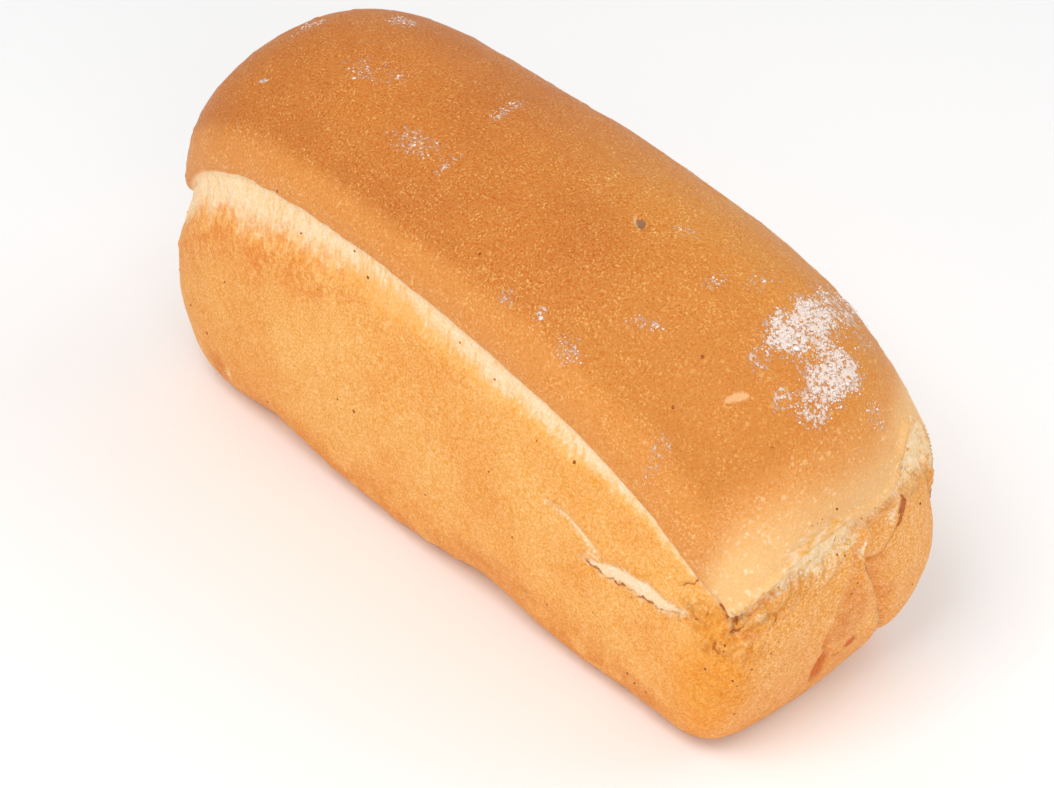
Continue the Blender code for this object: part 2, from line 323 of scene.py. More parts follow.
def lattice_noise(points, size, seed, count=32):
    """Smooth noise from -1 to 1: random heights on a cubic lattice of the size, eased between.

    The lattice repeats after its count of cells.
    """
    heights = np.random.default_rng(seed).uniform(-1.0, 1.0, (count, count, count))
    cell = np.floor(points / size).astype(int)
    part = smooth(points / size - cell)
    total = np.zeros(len(points))
    for corner in np.ndindex(2, 2, 2):
        weight = np.prod(np.where(corner, part, 1.0 - part), axis=1)
        i, j, k = ((cell + corner) % count).T
        total += weight * heights[i, j, k]
    return total


def fractal(points, size, octaves, seed, stretch=(1.0, 1.0, 1.0)):
    """Noise of the size plus finer noises, each half as large and half as high as the last."""
    points = points / np.array(stretch)
    return sum(lattice_noise(points, size / 2 ** n, seed + n) / 2 ** n for n in range(octaves))


def nearest_strand(a, b, strands):
    """For places (a, b): the step from the nearest strand's middle line, as two lengths, then the
    strand's half width there, and the distance from its side, negative within it."""
    step_a, step_b, half = np.zeros((3, *a.shape))
    distance = np.full(a.shape, np.inf)
    for strand in strands:
        for (a0, b0, r0), (a1, b1, r1) in zip(strand, strand[1:]):
            da, db = a1 - a0, b1 - b0
            share = np.clip(((a - a0) * da + (b - b0) * db) / (da * da + db * db), 0.0, 1.0)
            away_a, away_b = a - a0 - share * da, b - b0 - share * db
            radius = r0 + share * (r1 - r0)
            side = np.hypot(away_a, away_b) - radius
            nearer = side < distance
            step_a, step_b = np.where(nearer, away_a, step_a), np.where(nearer, away_b, step_b)
            half, distance = np.where(nearer, radius, half), np.where(nearer, side, distance)
    return step_a, step_b, half, distance


def grooves(a, b, strands, half_width):
    """The strands as grooves of depth 1, each a bell of the half width beside its strand."""
    distance = nearest_strand(a, b, strands)[3]
    return bell(np.maximum(distance, 0.0), half_width)


def patches(a, b, places):
    """Soft ovals at places (a, b, half sizes, strength), the strongest of which counts."""
    strongest = np.zeros(a.shape)
    for a0, b0, half_a, half_b, strength in places:
        reach = np.hypot((a - a0) / half_a, (b - b0) / half_b)
        strongest = np.maximum(strongest, strength * smooth(1.4 - reach))
    return strongest


# ---- The loaf's form ---------------------------------------------------------------------------

def plan(u, v):
    """Rim outline: a rectangle whose corners are pulled in until they are round, and bowed sides."""
    cut = along(u, CORNER_CUT_FAR, CORNER_CUT_NEAR)
    pull = cut * np.abs(u) ** (HALF_LENGTH / (2 * cut)) * np.abs(v) ** (HALF_WIDTH / (2 * cut))
    x = HALF_LENGTH * u - np.sign(u) * pull + NEAR_END_BOW * np.maximum(u, 0.0) ** 3 * (1.0 - v * v)
    y = HALF_WIDTH * v - np.sign(v) * pull + SIDE_BOW * v * (1.0 - u * u)
    return x, y


def rim_height(u, v):
    """Curve through the front wall's six heights, stepped to the back, arched at the near end."""
    even = np.linspace(-1.0, 1.0, len(FRONT_RIM))
    front = np.polyval(np.polyfit(even, FRONT_RIM, len(FRONT_RIM) - 1), u)
    across = (v + 1.0) / 2.0
    step = BACK_RIM_STEP_FAR * (1.0 - u) / 2.0 + BACK_RIM_STEP_NEAR * (1.0 + u) / 2.0
    arch = NEAR_END_RISE * np.maximum(u, 0.0) ** 6 * 4.0 * across * (1.0 - across)
    return front + across * step + arch


def dome_height(u, v):
    """From the rim up to the crown line, along a rounded-square arch in each direction."""
    square = SQUARENESS_FAR + (SQUARENESS_NEAR - SQUARENESS_FAR) * smooth(u + 0.5)
    arch_along = np.maximum(1.0 - np.abs(u) ** square, 0.0) ** (1.0 / square)
    arch_across = np.maximum(1.0 - np.abs(v) ** SQUARENESS_SIDE, 0.0) ** (1.0 / SQUARENESS_SIDE)
    crown = CROWN_HEIGHT + CROWN_TILT * u + CROWN_CUP * u * u
    rim = rim_height(u, v)
    return rim + (crown - rim) * arch_along * arch_across


def wall_inset(z, rim, overhang, taper, belly, foot):
    """How far the wall stands in at height z: overhang, straight lean, parabolic belly, foot's arc."""
    up = np.clip(z / rim, 0.0, 1.0)
    foot_arc = foot - np.sqrt(np.maximum(foot ** 2 - np.maximum(foot - z, 0.0) ** 2, 0.0))
    return overhang + taper * (1.0 - up) - belly * 4.0 * up * (1.0 - up) + foot_arc


def wall_plan(u, v, z, rim, lip):
    """Plan of the wall at height z: the rim's outline drawn in by the inset of each wall."""
    x, y = plan(u, v)
    end_foot = along(u, FAR_FOOT, NEAR_FOOT + LOBE_FOOT_EXTRA * smooth(v))
    mirrored = -np.sign(v) * u
    stretches = sum(np.exp(-((mirrored - middle) / half) ** 2) for middle, half in SIDE_FOOT_STRETCHES)
    end = wall_inset(z, rim, lip * along(u, FAR_OVERHANG, NEAR_OVERHANG), along(u, FAR_TAPER, NEAR_TAPER),
                     along(u, FAR_BELLY, NEAR_BELLY), end_foot)
    side = wall_inset(z, rim, lip * np.where(v < 0.0, FRONT_OVERHANG, BACK_OVERHANG),
                      SIDE_TAPER, SIDE_BELLY, SIDE_FOOT + SIDE_FOOT_EXTRA * stretches)
    return x * (1.0 - end / HALF_LENGTH), y * (1.0 - side / HALF_WIDTH)


class Skin:
    """The loaf's closed skin: one grid over the top, then rings down the walls and under the base.

    Each vertex has its point in metres, the same place before any relief in millimetres (mm), its
    place (u, v) on the patch from -1 to 1, and its drop below the rim in millimetres.
    """

    def __init__(self):
        even_u = np.linspace(-1.0, 1.0, SPACES_ALONG + 1)
        even_v = np.linspace(-1.0, 1.0, SPACES_ACROSS + 1)
        u, v = np.meshgrid(np.sin(even_u * math.pi / 2), np.sin(even_v * math.pi / 2), indexing="ij")
        self.grid = np.arange(u.size).reshape(u.shape)
        grid = self.grid
        self.edge = np.concatenate([grid[:-1, 0], grid[-1, :-1], grid[:0:-1, -1], grid[0, :0:-1]])
        top = np.stack([*plan(u, v), dome_height(u, v)], axis=-1).reshape(-1, 3)

        edge_u, edge_v = u.ravel()[self.edge], v.ravel()[self.edge]
        rim = rim_height(edge_u, edge_v)
        heights, lips = self.wall_rows(rim)
        x, y = wall_plan(edge_u, edge_v, heights, rim, lips)
        walls = np.stack([x, y, heights], axis=-1)
        rings = [walls[-1] * (share, share, 1.0) + (0.0, 0.0, BASE_RISE * (1.0 - share))
                 for share in BASE_RINGS]
        walls = np.concatenate([walls, rings])
        self.wall_ring_count = len(heights)
        self.ring_count = len(walls)

        around = np.ones((self.ring_count, 1))
        middle = [[0.0, 0.0, BASE_RISE]]
        self.points = np.concatenate([top, walls.reshape(-1, 3), middle])
        self.u = np.concatenate([u.ravel(), (around * edge_u).ravel(), [0.0]])
        self.v = np.concatenate([v.ravel(), (around * edge_v).ravel(), [0.0]])
        rims = np.concatenate([rim_height(u, v).ravel(), (around * rim).ravel(), [rim[0]]])
        self.is_wall = np.arange(len(self.points)) >= u.size
        self.drop = np.where(self.is_wall, rims - self.points[:, 2], 0.0) / MM
        self.centre()
        self.mm = self.points / MM

        low = u.size + np.arange(self.ring_count)[:, None] * len(self.edge) + np.arange(len(self.edge))
        self.rings = np.concatenate([self.edge[None], low])
        self.middle = len(self.points) - 1
        self.near = eased(self.u, *END_TURN) * self.is_wall
        self.far = eased(-self.u, *END_TURN) * self.is_wall
        self.front = eased(-self.v, *SIDE_TURN) * (1.0 - self.near) * self.is_wall
        self.back = eased(self.v, *SIDE_TURN) * (1.0 - self.near) * self.is_wall
        self.normals = self.vertex_normals()

    @staticmethod
    def wall_rows(rim):
        """Heights of the rows under each rim point, and each row's share of the crust's overhang.

        The lip is a quarter circle, the break and the wall have even rows, and at the foot the
        rows close up as 1 - sine, because the foot is round.
        """
        turn = np.linspace(0.0, math.pi / 2, LIP_ROWS + 1)[1:, None]
        lip = rim - LIP_HEIGHT * np.sin(turn)
        share = np.linspace(0.0, 1.0, BREAK_ROWS + 1)[1:, None]
        torn = rim - LIP_HEIGHT - BREAK_BAND * share
        share = np.linspace(0.0, 1.0, WALL_ROWS + 1)[1:, None]
        wall = torn[-1] + (FOOT_BAND - torn[-1]) * share
        turn = np.linspace(0.0, math.pi / 2, FOOT_ROWS + 1)[1:, None]
        foot = FOOT_BAND * (1.0 - np.sin(turn)) + 0.0 * rim
        heights = np.concatenate([lip, torn, wall, foot])
        lips = np.ones((len(heights), 1))
        lips[:LIP_ROWS, 0] = 1.0 - np.cos(np.linspace(0.0, math.pi / 2, LIP_ROWS + 1)[1:])
        return heights, lips

    def centre(self):
        """Puts the middle of the skin's box over the middle of the solid's."""
        low, high = self.points.min(axis=0), self.points.max(axis=0)
        middle = (np.array(LOAF_LOW) + np.array(LOAF_HIGH)) / 2
        self.points[:, :2] += (middle - (low + high) / 2)[:2]

    def quads(self):
        """The corners of every four-sided face, top first, anticlockwise from outside."""
        grid, rings = self.grid, self.rings
        top = np.stack([grid[:-1, :-1], grid[1:, :-1], grid[1:, 1:], grid[:-1, 1:]], axis=-1)
        onward = np.roll(rings, -1, axis=1)
        walls = np.stack([rings[:-1], rings[1:], onward[1:], onward[:-1]], axis=-1)
        return np.concatenate([top.reshape(-1, 4), walls.reshape(-1, 4)])

    def fan(self):
        """The triangles that close the middle of the base."""
        last = self.rings[-1]
        return np.stack([last, np.full(len(last), self.middle), np.roll(last, -1)], axis=-1)

    def vertex_normals(self):
        """Unit normals: for each vertex, the sum of its faces' diagonal cross products."""
        quads, fan = self.quads(), self.fan()
        total = np.zeros_like(self.points)
        for faces, ends in ((quads, (0, 2, 1, 3)), (fan, (0, 1, 0, 2))):
            a, b, c, d = (self.points[faces[:, end]] for end in ends)
            across = np.cross(b - a, d - c)
            for corner in faces.T:
                for axis in range(3):
                    total[:, axis] += np.bincount(corner, across[:, axis], len(total))
        return total / np.linalg.norm(total, axis=1, keepdims=True)

    def push(self, height):
        """Moves every vertex along its normal by its height."""
        self.points += self.normals * height[:, None]

    def fit(self):
        """Keeps the skin in the solid's box: a last small stretch about the box's middle."""
        low, high = self.points.min(axis=0), self.points.max(axis=0)
        want_low, want_high = np.array(LOAF_LOW), np.array(LOAF_HIGH)
        self.points = want_low + (self.points - low) * (want_high - want_low) / (high - low)
        self.normals = self.vertex_normals()


# ---- Fields and relief, in millimetres ---------------------------------------------------------

def near_face(skin):
    """1 on the near end and on the steep crust over it, 0 elsewhere, eased round its corners."""
    start = 0.92 + 0.04 * eased(skin.v, 0.75, 0.2)
    return np.where(skin.is_wall, skin.near, eased(skin.u, start, 0.03))


def below_crust(skin):
    """How far a vertex is below the crust's lower edge, negative on the crust.

    The edge is the lip under the rim, and on the near end its own line, with ragged steps.
    """
    y, z = skin.mm[:, 1], skin.mm[:, 2]
    lip = LIP_DEPTH + FAR_LIP_EXTRA * eased(-skin.u, 0.6, 0.35)
    elsewhere = np.where(skin.is_wall, skin.drop - lip, -10.0)
    ragged = 0.9 * fractal(skin.mm, 6.0, 3, 23)
    return mixed(elsewhere, profile(y, NEAR_EDGE) - z + ragged, near_face(skin))


def band_height(skin):
    """Height of the torn band: each wall's own stations, eased round the corners."""
    side = np.where(skin.v < 0.0, stations(skin.u, FRONT_BAND), stations(skin.u, BACK_BAND))
    side = mixed(side, FAR_BAND, skin.far)
    return mixed(side, profile(skin.mm[:, 1], NEAR_BAND), near_face(skin))


def swell_relief(skin):
    """Slow swells of the whole crust, and finer unevenness on them."""
    return fractal(skin.mm, 46.0, 2, 31) + 0.3 * fractal(skin.mm, 11.0, 3, 35)


def blister_relief(skin):
    """Low round blisters, a few millimetres apart: the positive half of fine noise, squared."""
    return np.maximum(fractal(skin.mm, 4.2, 2, 41), 0.0) ** 2 * (1.0 - skin.near)


def band_relief(skin, below, reach, hollow, fibre):
    """The torn band: hollow, with upright fibres, and the wall's crust standing proud under it."""
    inside = eased(reach, 0.0, 0.15) * eased(reach, 1.15, -0.4)
    fibres = fractal(skin.mm, 3.0, 3, 51, (1.0, 1.0, 3.2))
    ledge = bell(reach - 1.2, 0.25)
    return inside * (fibre * fibres - hollow) + 0.3 * hollow * ledge * (below > 0.0)


def lip_relief(skin, below):
    """The crust's edge on the near end: a rounded roll just above the edge."""
    return near_face(skin) * bell(below + 1.8, 1.7)


def rim_fold_field(skin, below):
    """Where the skin is wrinkled just over the crust's edge on the near end."""
    height = profile(skin.mm[:, 1], RIM_FOLDS) + 0.8 * fractal(skin.mm, 5.0, 2, 71)
    return near_face(skin) * eased(below, -height, 2.5) * eased(below, 1.0, -1.5)


def crumple_field(skin):
    """How crumpled the crust is, beside the near end's front corner."""
    x, y, z = skin.mm.T
    front = eased(-skin.v, *SIDE_TURN) * skin.is_wall * patches(x, z, FRONT_CRUMPLED)
    return mixed(front, patches(y, z, NEAR_CRUMPLED), near_face(skin))


def rough_relief(skin, below, reach):
    """Crumpled dough at the near end's torn band and beside the front corner, and wrinkled skin.

    Ridges are noise folded down at its zeros, and lumps are noise folded up there.
    """
    y = skin.mm[:, 1]
    strength = 0.7 + 0.5 * eased(y, 16.0, 6.0) + 0.5 * eased(y, -28.0, -8.0)
    ridges = 0.4 - np.abs(fractal(skin.mm, 4.4, 3, 65, (1.0, 1.0, 1.4))) * 2.0
    band = near_face(skin) * eased(reach, 0.0, 0.3) * eased(reach, 1.6, -0.7) * strength
    lumps = np.minimum(np.abs(fractal(skin.mm, 5.0, 3, 67)), 0.6) - 0.3
    wrinkles = 0.3 * rim_fold_field(skin, below) * fractal(skin.mm, 2.2, 2, 73, (1.0, 4.5, 1.6))
    return band * ridges + 2.4 * crumple_field(skin) * lumps + wrinkles


def step_relief(skin, line, low, high, width):
    """A fold down the near end: the skin swells up to the line, steps in past it, and eases out.

    The step fades away at its low and its high end, and eases out within the width.
    """
    y, z = skin.mm[:, 1] + 0.5 * fractal(skin.mm, 7.0, 3, 63), skin.mm[:, 2]
    heights, places = np.transpose(sorted((place[1], place[0]) for place in line))
    past = y - np.interp(z, heights, places)
    ends = eased(z, low, 10.0) * eased(z, high, -8.0)
    before = 0.5 * bell(np.minimum(past, 0.0), 5.0) * eased(z, low + 12.0, 12.0)
    step = smooth(past / STEP_RUN)
    return skin.near * ends * (before * (1.0 - step) - step * bell(np.maximum(past - STEP_RUN, 0.0), width))


def near_end_relief(skin, below, sizes):
    """The near end's lobes, its flap and the hollow behind it, its cracks and wrinkles."""
    ragged = 0.7 * fractal(skin.mm, 5.0, 3, 61)
    y, z = skin.mm[:, 1] + ragged, skin.mm[:, 2] + ragged
    on_wall = near_face(skin) * eased(below, -1.0, 2.0)
    lobes = patches(y, z, NEAR_LOBES)
    flap = grooves(y, z, (FLAP,), 1.3)
    behind = patches(y, z, (FLAP_HOLLOW,))
    cracks = grooves(y, z, NEAR_CRACKS, 0.9)
    wrinkles = grooves(y, z, NEAR_WRINKLES, 1.3) * near_face(skin)
    return (on_wall * (2.0 * flap + 1.4 * lobes - 2.4 * behind - sizes.crack / MM * cracks)
            - sizes.wrinkle / MM * wrinkles)


def tear_relief(skin):
    """The front wall's tear: hollow along its strands, with the crust over it rolled out a little."""
    x, z = skin.mm[:, 0], skin.mm[:, 2] + 0.6 * fractal(skin.mm, 5.0, 3, 81)
    over = grooves(x, z - 4.0, TEARS, 2.0)
    return skin.front * (0.35 * over - grooves(x, z, TEARS, 0.8))


def corner_relief(skin):
    """Short cracks where the front wall's crust turns on to the near end."""
    ragged = 0.5 * fractal(skin.mm, 4.0, 3, 85)
    front = eased(-skin.v, 0.8, 0.1) * (skin.drop > 0.0)
    return front * grooves(skin.mm[:, 0] + ragged, skin.mm[:, 2] + ragged, FRONT_CRACKS, 0.9)


def hole_distance(skin):
    """Distance from the middle of the hole in the top crust, as a share of its radius.

    The hole is an oval, half as long again from its near front to its far back.
    """
    x, y, radius = HOLE
    step_x, step_y = skin.mm[:, 0] - x, skin.mm[:, 1] - y
    away = np.hypot(0.9 * (step_x + step_y), 0.6 * (step_y - step_x)) / radius
    return np.where(skin.is_wall, 10.0, np.minimum(away, 10.0))


def flour_field(skin):
    """Density of the flour, from the ovals where it lies, each fading outwards from its middle."""
    x, y = skin.mm[:, 0], skin.mm[:, 1]
    density = np.zeros(len(x))
    for x0, y0, half_length, half_width, turn, amount in FLOUR:
        c, s = math.cos(math.radians(turn)), math.sin(math.radians(turn))
        a = ((x - x0) * c + (y - y0) * s) / half_length
        b = ((y - y0) * c - (x - x0) * s) / half_width
        density = np.maximum(density, amount * smooth(1.5 - np.hypot(a, b)))
    return density * ~skin.is_wall


def tint_field(skin, name):
    """Strength of a tint: its ovals on the front wall, turned about to the back, and on the near end."""
    x, y, z = skin.mm.T
    side = eased(np.abs(skin.v), *SIDE_TURN) * skin.is_wall * patches(-np.sign(y) * x, z, FRONT_TINTS[name])
    return mixed(side, patches(y, z, NEAR_TINTS[name]), near_face(skin))


def crust_height(skin, below, reach, hole, sizes):
    """All relief together: how far each vertex stands out from the plain form, in metres."""
    on_near = near_face(skin)
    off_base = smooth(skin.mm[:, 2] / 6.0)
    height = off_base * (sizes.swell * swell_relief(skin) + sizes.blister * blister_relief(skin))
    hollow = sizes.band_hollow * (1.0 + 1.5 * on_near * eased(skin.mm[:, 1], 38.0, -16.0))
    height += band_relief(skin, below, reach, hollow, sizes.band_fibre)
    height += sizes.near_lip * lip_relief(skin, below) + sizes.rough * rough_relief(skin, below, reach)
    height += sizes.fold * step_relief(skin, FOLD, *FOLD_STEP)
    height += sizes.crease * step_relief(skin, CREASE, *CREASE_STEP)
    height += near_end_relief(skin, below, sizes) * MM
    height += sizes.tear * tear_relief(skin) - sizes.crack * corner_relief(skin)
    return height + sizes.hole * (0.3 * bell(hole - 1.4, 0.3) - eased(hole, 1.3, -0.5))


def crust_fields(skin, below, reach, hole):
    """What the material reads from the mesh: a name, and one number for each vertex."""
    on_near = near_face(skin)
    off_near = 1.0 - on_near
    u = skin.u + 0.012 * fractal(skin.mm, 30.0, 3, 91)
    # The pale crust reaches further along the loaf at its sides, most at the back.
    bend = 0.09 * (skin.v + 0.1) ** 2 + 0.09 * np.maximum(skin.v, 0.0) ** 2
    # The back half of the top is painted lighter, as painted light there; the same tint at half strength
    # covers the near half.
    lit_back = eased(skin.v, -0.4, 0.6) * eased(u, -0.2, 0.6)
    fields = {
        "below": np.clip(below, -10.0, 40.0),
        "reach": np.clip(reach, 0.0, 3.0),
        "pale": smooth((u - 0.875 + bend) / 0.17),
        "side": eased(np.abs(skin.v), 0.8, 0.2) * (1.0 - 0.2 * eased(u, -0.5, -0.3)),
        "smooth": eased(u, 0.2, 0.7),
        "warm_and_lit": np.maximum(lit_back, 0.5 * eased(u, 0.25, 0.25)),
        "toast": bell(skin.u + 0.1, 0.2) * off_near,
        "scorch": eased(reach, 2.2, -0.8) * eased(skin.u, -0.12, -0.3) * off_near,
        "foot": eased(skin.mm[:, 2], 34.0, -30.0),
        "end": on_near,
        "front": skin.front,
        "corner": eased(-skin.v, 0.8, 0.1) * (skin.u > 0.0),
        "crumple": crumple_field(skin),
        "rim_fold": rim_fold_field(skin, below),
        "flour": flour_field(skin),
        "hole": hole,
    }
    fields.update((name, tint_field(skin, name)) for name in TINTS)
    return fields


# ---- Meshes ------------------------------------------------------------------------------------

def mesh_object(name, points, faces):
    """A new object whose mesh has these points and faces, which are arrays of corner numbers."""
    mesh = bpy.data.meshes.new(name)
    sizes = np.concatenate([np.full(len(part), part.shape[1]) for part in faces])
    mesh.vertices.add(len(points))
    mesh.vertices.foreach_set("co", points.astype(np.float32).ravel())
    mesh.loops.add(int(sizes.sum()))
    numbers = np.concatenate([part.ravel() for part in faces])
    mesh.loops.foreach_set("vertex_index", numbers.astype(np.int32))
    mesh.polygons.add(len(sizes))
    mesh.polygons.foreach_set("loop_start", (np.cumsum(sizes) - sizes).astype(np.int32))
    mesh.update(calc_edges=True)
    mesh.validate()
    mesh.shade_smooth()
    made = bpy.data.objects.new(name, mesh)
    bpy.context.scene.collection.objects.link(made)
    return made


def store(made, name, values):
    """Keeps one number for each vertex in the mesh, where the material can read it."""
    attribute = made.data.attributes.new(name, "FLOAT", "POINT")
    attribute.data.foreach_set("value", np.asarray(values, dtype=np.float32))


def store_line(made, name, places):
    """Keeps each vertex's step from the nearest strand of a kind, and its distance from it.

    The step changes evenly across a strand, so a thin strand stays sharp between vertices.
    """
    strands, (first, second) = LINES[name]
    step_a, step_b, half, distance = nearest_strand(places[:, first], places[:, second], strands)
    attribute = made.data.attributes.new(name + "_step", "FLOAT_VECTOR", "POINT")
    attribute.data.foreach_set("vector", np.stack([step_a, step_b, half], axis=-1).astype(np.float32).ravel())
    store(made, name, np.clip(distance, -10.0, 10.0))


def store_chart(made, places):
    """Gives the mesh a texture map, with one place for each face corner."""
    layer = made.data.uv_layers.new(name="OFBake")
    layer.uv.foreach_set("vector", places.astype(np.float32).ravel())


def ball(rings, sectors):
    """A unit ball: its pole, rings at even turns down to the other pole, and its triangles."""
    turn = np.linspace(0.0, math.pi, rings + 1)[1:-1, None]
    round_ = np.linspace(0.0, 2.0 * math.pi, sectors, endpoint=False)
    rows = np.stack([np.sin(turn) * np.cos(round_), np.sin(turn) * np.sin(round_),
                     np.cos(turn) + 0.0 * round_], axis=-1).reshape(-1, 3)
    points = np.concatenate([[[0.0, 0.0, 1.0]], rows, [[0.0, 0.0, -1.0]]])
    number = 1 + np.arange((rings - 1) * sectors).reshape(rings - 1, sectors)
    onward = np.roll(number, -1, axis=1)
    cap = np.stack([np.zeros(sectors, int), number[0], onward[0]], axis=-1)
    foot = np.stack([np.full(sectors, len(points) - 1), onward[-1], number[-1]], axis=-1)
    a, b, c, d = number[:-1].ravel(), number[1:].ravel(), onward[1:].ravel(), onward[:-1].ravel()
    sides = np.concatenate([np.stack([a, b, c], axis=-1), np.stack([a, c, d], axis=-1)])
    return points, np.concatenate([cap, sides, foot])


def scattered(skin, places, radii, flatness, roughness, rng, rings=3, sectors=5):
    """Lumps on the skin at the given vertices, as points and triangles.

    A lump is a ball with its points moved in and out at random, times its radius, flattened
    along the skin's normal and turned about it at random.
    """
    unit, faces = ball(rings, sectors)
    count = len(places)
    shape = unit * (1.0 + roughness * rng.uniform(-1.0, 1.0, (count, len(unit), 1)))
    shape = shape * rng.uniform(0.6, 1.3, (count, 1, 3)) * (1.0, 1.0, flatness)
    normal = skin.normals[places]
    aside = np.cross(normal, rng.normal(size=(count, 3)))
    aside /= np.linalg.norm(aside, axis=1, keepdims=True)
    axes = np.stack([aside, np.cross(normal, aside), normal], axis=1)
    lumps = skin.points[places][:, None] + np.einsum("nij,njk->nik", shape * radii[:, None, None], axes)
    numbers = faces[None] + (np.arange(count) * len(unit))[:, None, None]
    return lumps.reshape(-1, 3), numbers.reshape(-1, 3)


def chart(skin):
    """The skin laid out flat for textures, one place for each face corner, in mesh order.

    The top is stretched flat by its even steps. The wall is unrolled as two strips, front with
    near end and back with far end. The base lies on its side in the space that is left.
    """
    half = len(skin.edge) // 2

    steps_u, steps_v = np.meshgrid(np.arange(SPACES_ALONG), np.arange(SPACES_ACROSS), indexing="ij")
    corner_u = steps_u[..., None] + np.array([0, 1, 1, 0])
    corner_v = steps_v[..., None] + np.array([0, 0, 1, 1])
    top = np.stack([CHART_MARGIN + corner_u / SPACES_ALONG * CHART_TOP_LENGTH,
                    CHART_MARGIN + corner_v / SPACES_ACROSS * CHART_TOP_HEIGHT], axis=-1).reshape(-1, 2)

    edge = skin.points[np.append(skin.edge, skin.edge[0])]
    run = np.append(0.0, np.cumsum(np.linalg.norm(np.diff(edge[:, :2], axis=0), axis=1)))
    walls = skin.points[skin.rings[:skin.wall_ring_count + 1]]
    fall = np.append(0.0, np.cumsum(np.linalg.norm(np.diff(walls, axis=0), axis=2).mean(axis=1)))
    fall *= CHART_STRIP_HEIGHT / fall[-1]
    rows, turns = np.meshgrid(np.arange(skin.wall_ring_count), np.arange(len(skin.edge)), indexing="ij")
    second = turns >= half
    start = np.where(second, run[half], 0.0)
    corner_run = run[turns[..., None] + np.array([0, 0, 1, 1])] - start[..., None]
    corner_fall = fall[rows[..., None] + np.array([0, 1, 1, 0])]
    strip = np.where(second, CHART_STRIP_HEIGHT + 2 * CHART_MARGIN, 0.0)
    floor = CHART_TOP_HEIGHT + CHART_STRIP_HEIGHT + strip[..., None] + 2 * CHART_MARGIN
    strips = np.stack([CHART_MARGIN + corner_run, floor - corner_fall], axis=-1).reshape(-1, 2)

    walls_end = (SPACES_ALONG * SPACES_ACROSS) + skin.wall_ring_count * len(skin.edge)
    base_corners = np.concatenate([skin.quads()[walls_end:].ravel(), skin.fan().ravel()])
    base = skin.points[base_corners][:, 1::-1] * CHART_BASE_SHARE + CHART_BASE_PLACE
    return np.concatenate([top, strips, base]) / CHART_SIZE


# ---- Materials ---------------------------------------------------------------------------------

class Wire:
    """A socket of a shader node, used like a number: its operators add Math nodes."""

    def __init__(self, tree, socket):
        self.tree = tree
        self.socket = socket

    def math(self, operation, *values):
        return self.tree.node("ShaderNodeMath", {"operation": operation}, dict(enumerate(values)))

    def __add__(self, other):
        return self.math("ADD", self, other)

    def __sub__(self, other):
        return self.math("SUBTRACT", self, other)

    def __rsub__(self, other):
        return self.math("SUBTRACT", other, self)

    def __mul__(self, other):
        return self.math("MULTIPLY", self, other)

    __radd__ = __add__
    __rmul__ = __mul__

    def size(self):
        """The number without its sign."""
        return self.math("ABSOLUTE", self)

    def most(self, other):
        """The larger of two numbers."""
        return self.math("MAXIMUM", self, other)

    def toward(self, other, share):
        """This number where the share is 0, the other where it is 1."""
        return self + (other - self) * share

    def rise(self, low, high):
        """Ease from 0 at low to 1 at high. Low may be the larger."""
        return self.tree.node("ShaderNodeMapRange", {"interpolation_type": "SMOOTHSTEP"},
                              {"Value": self, "From Min": low, "From Max": high})


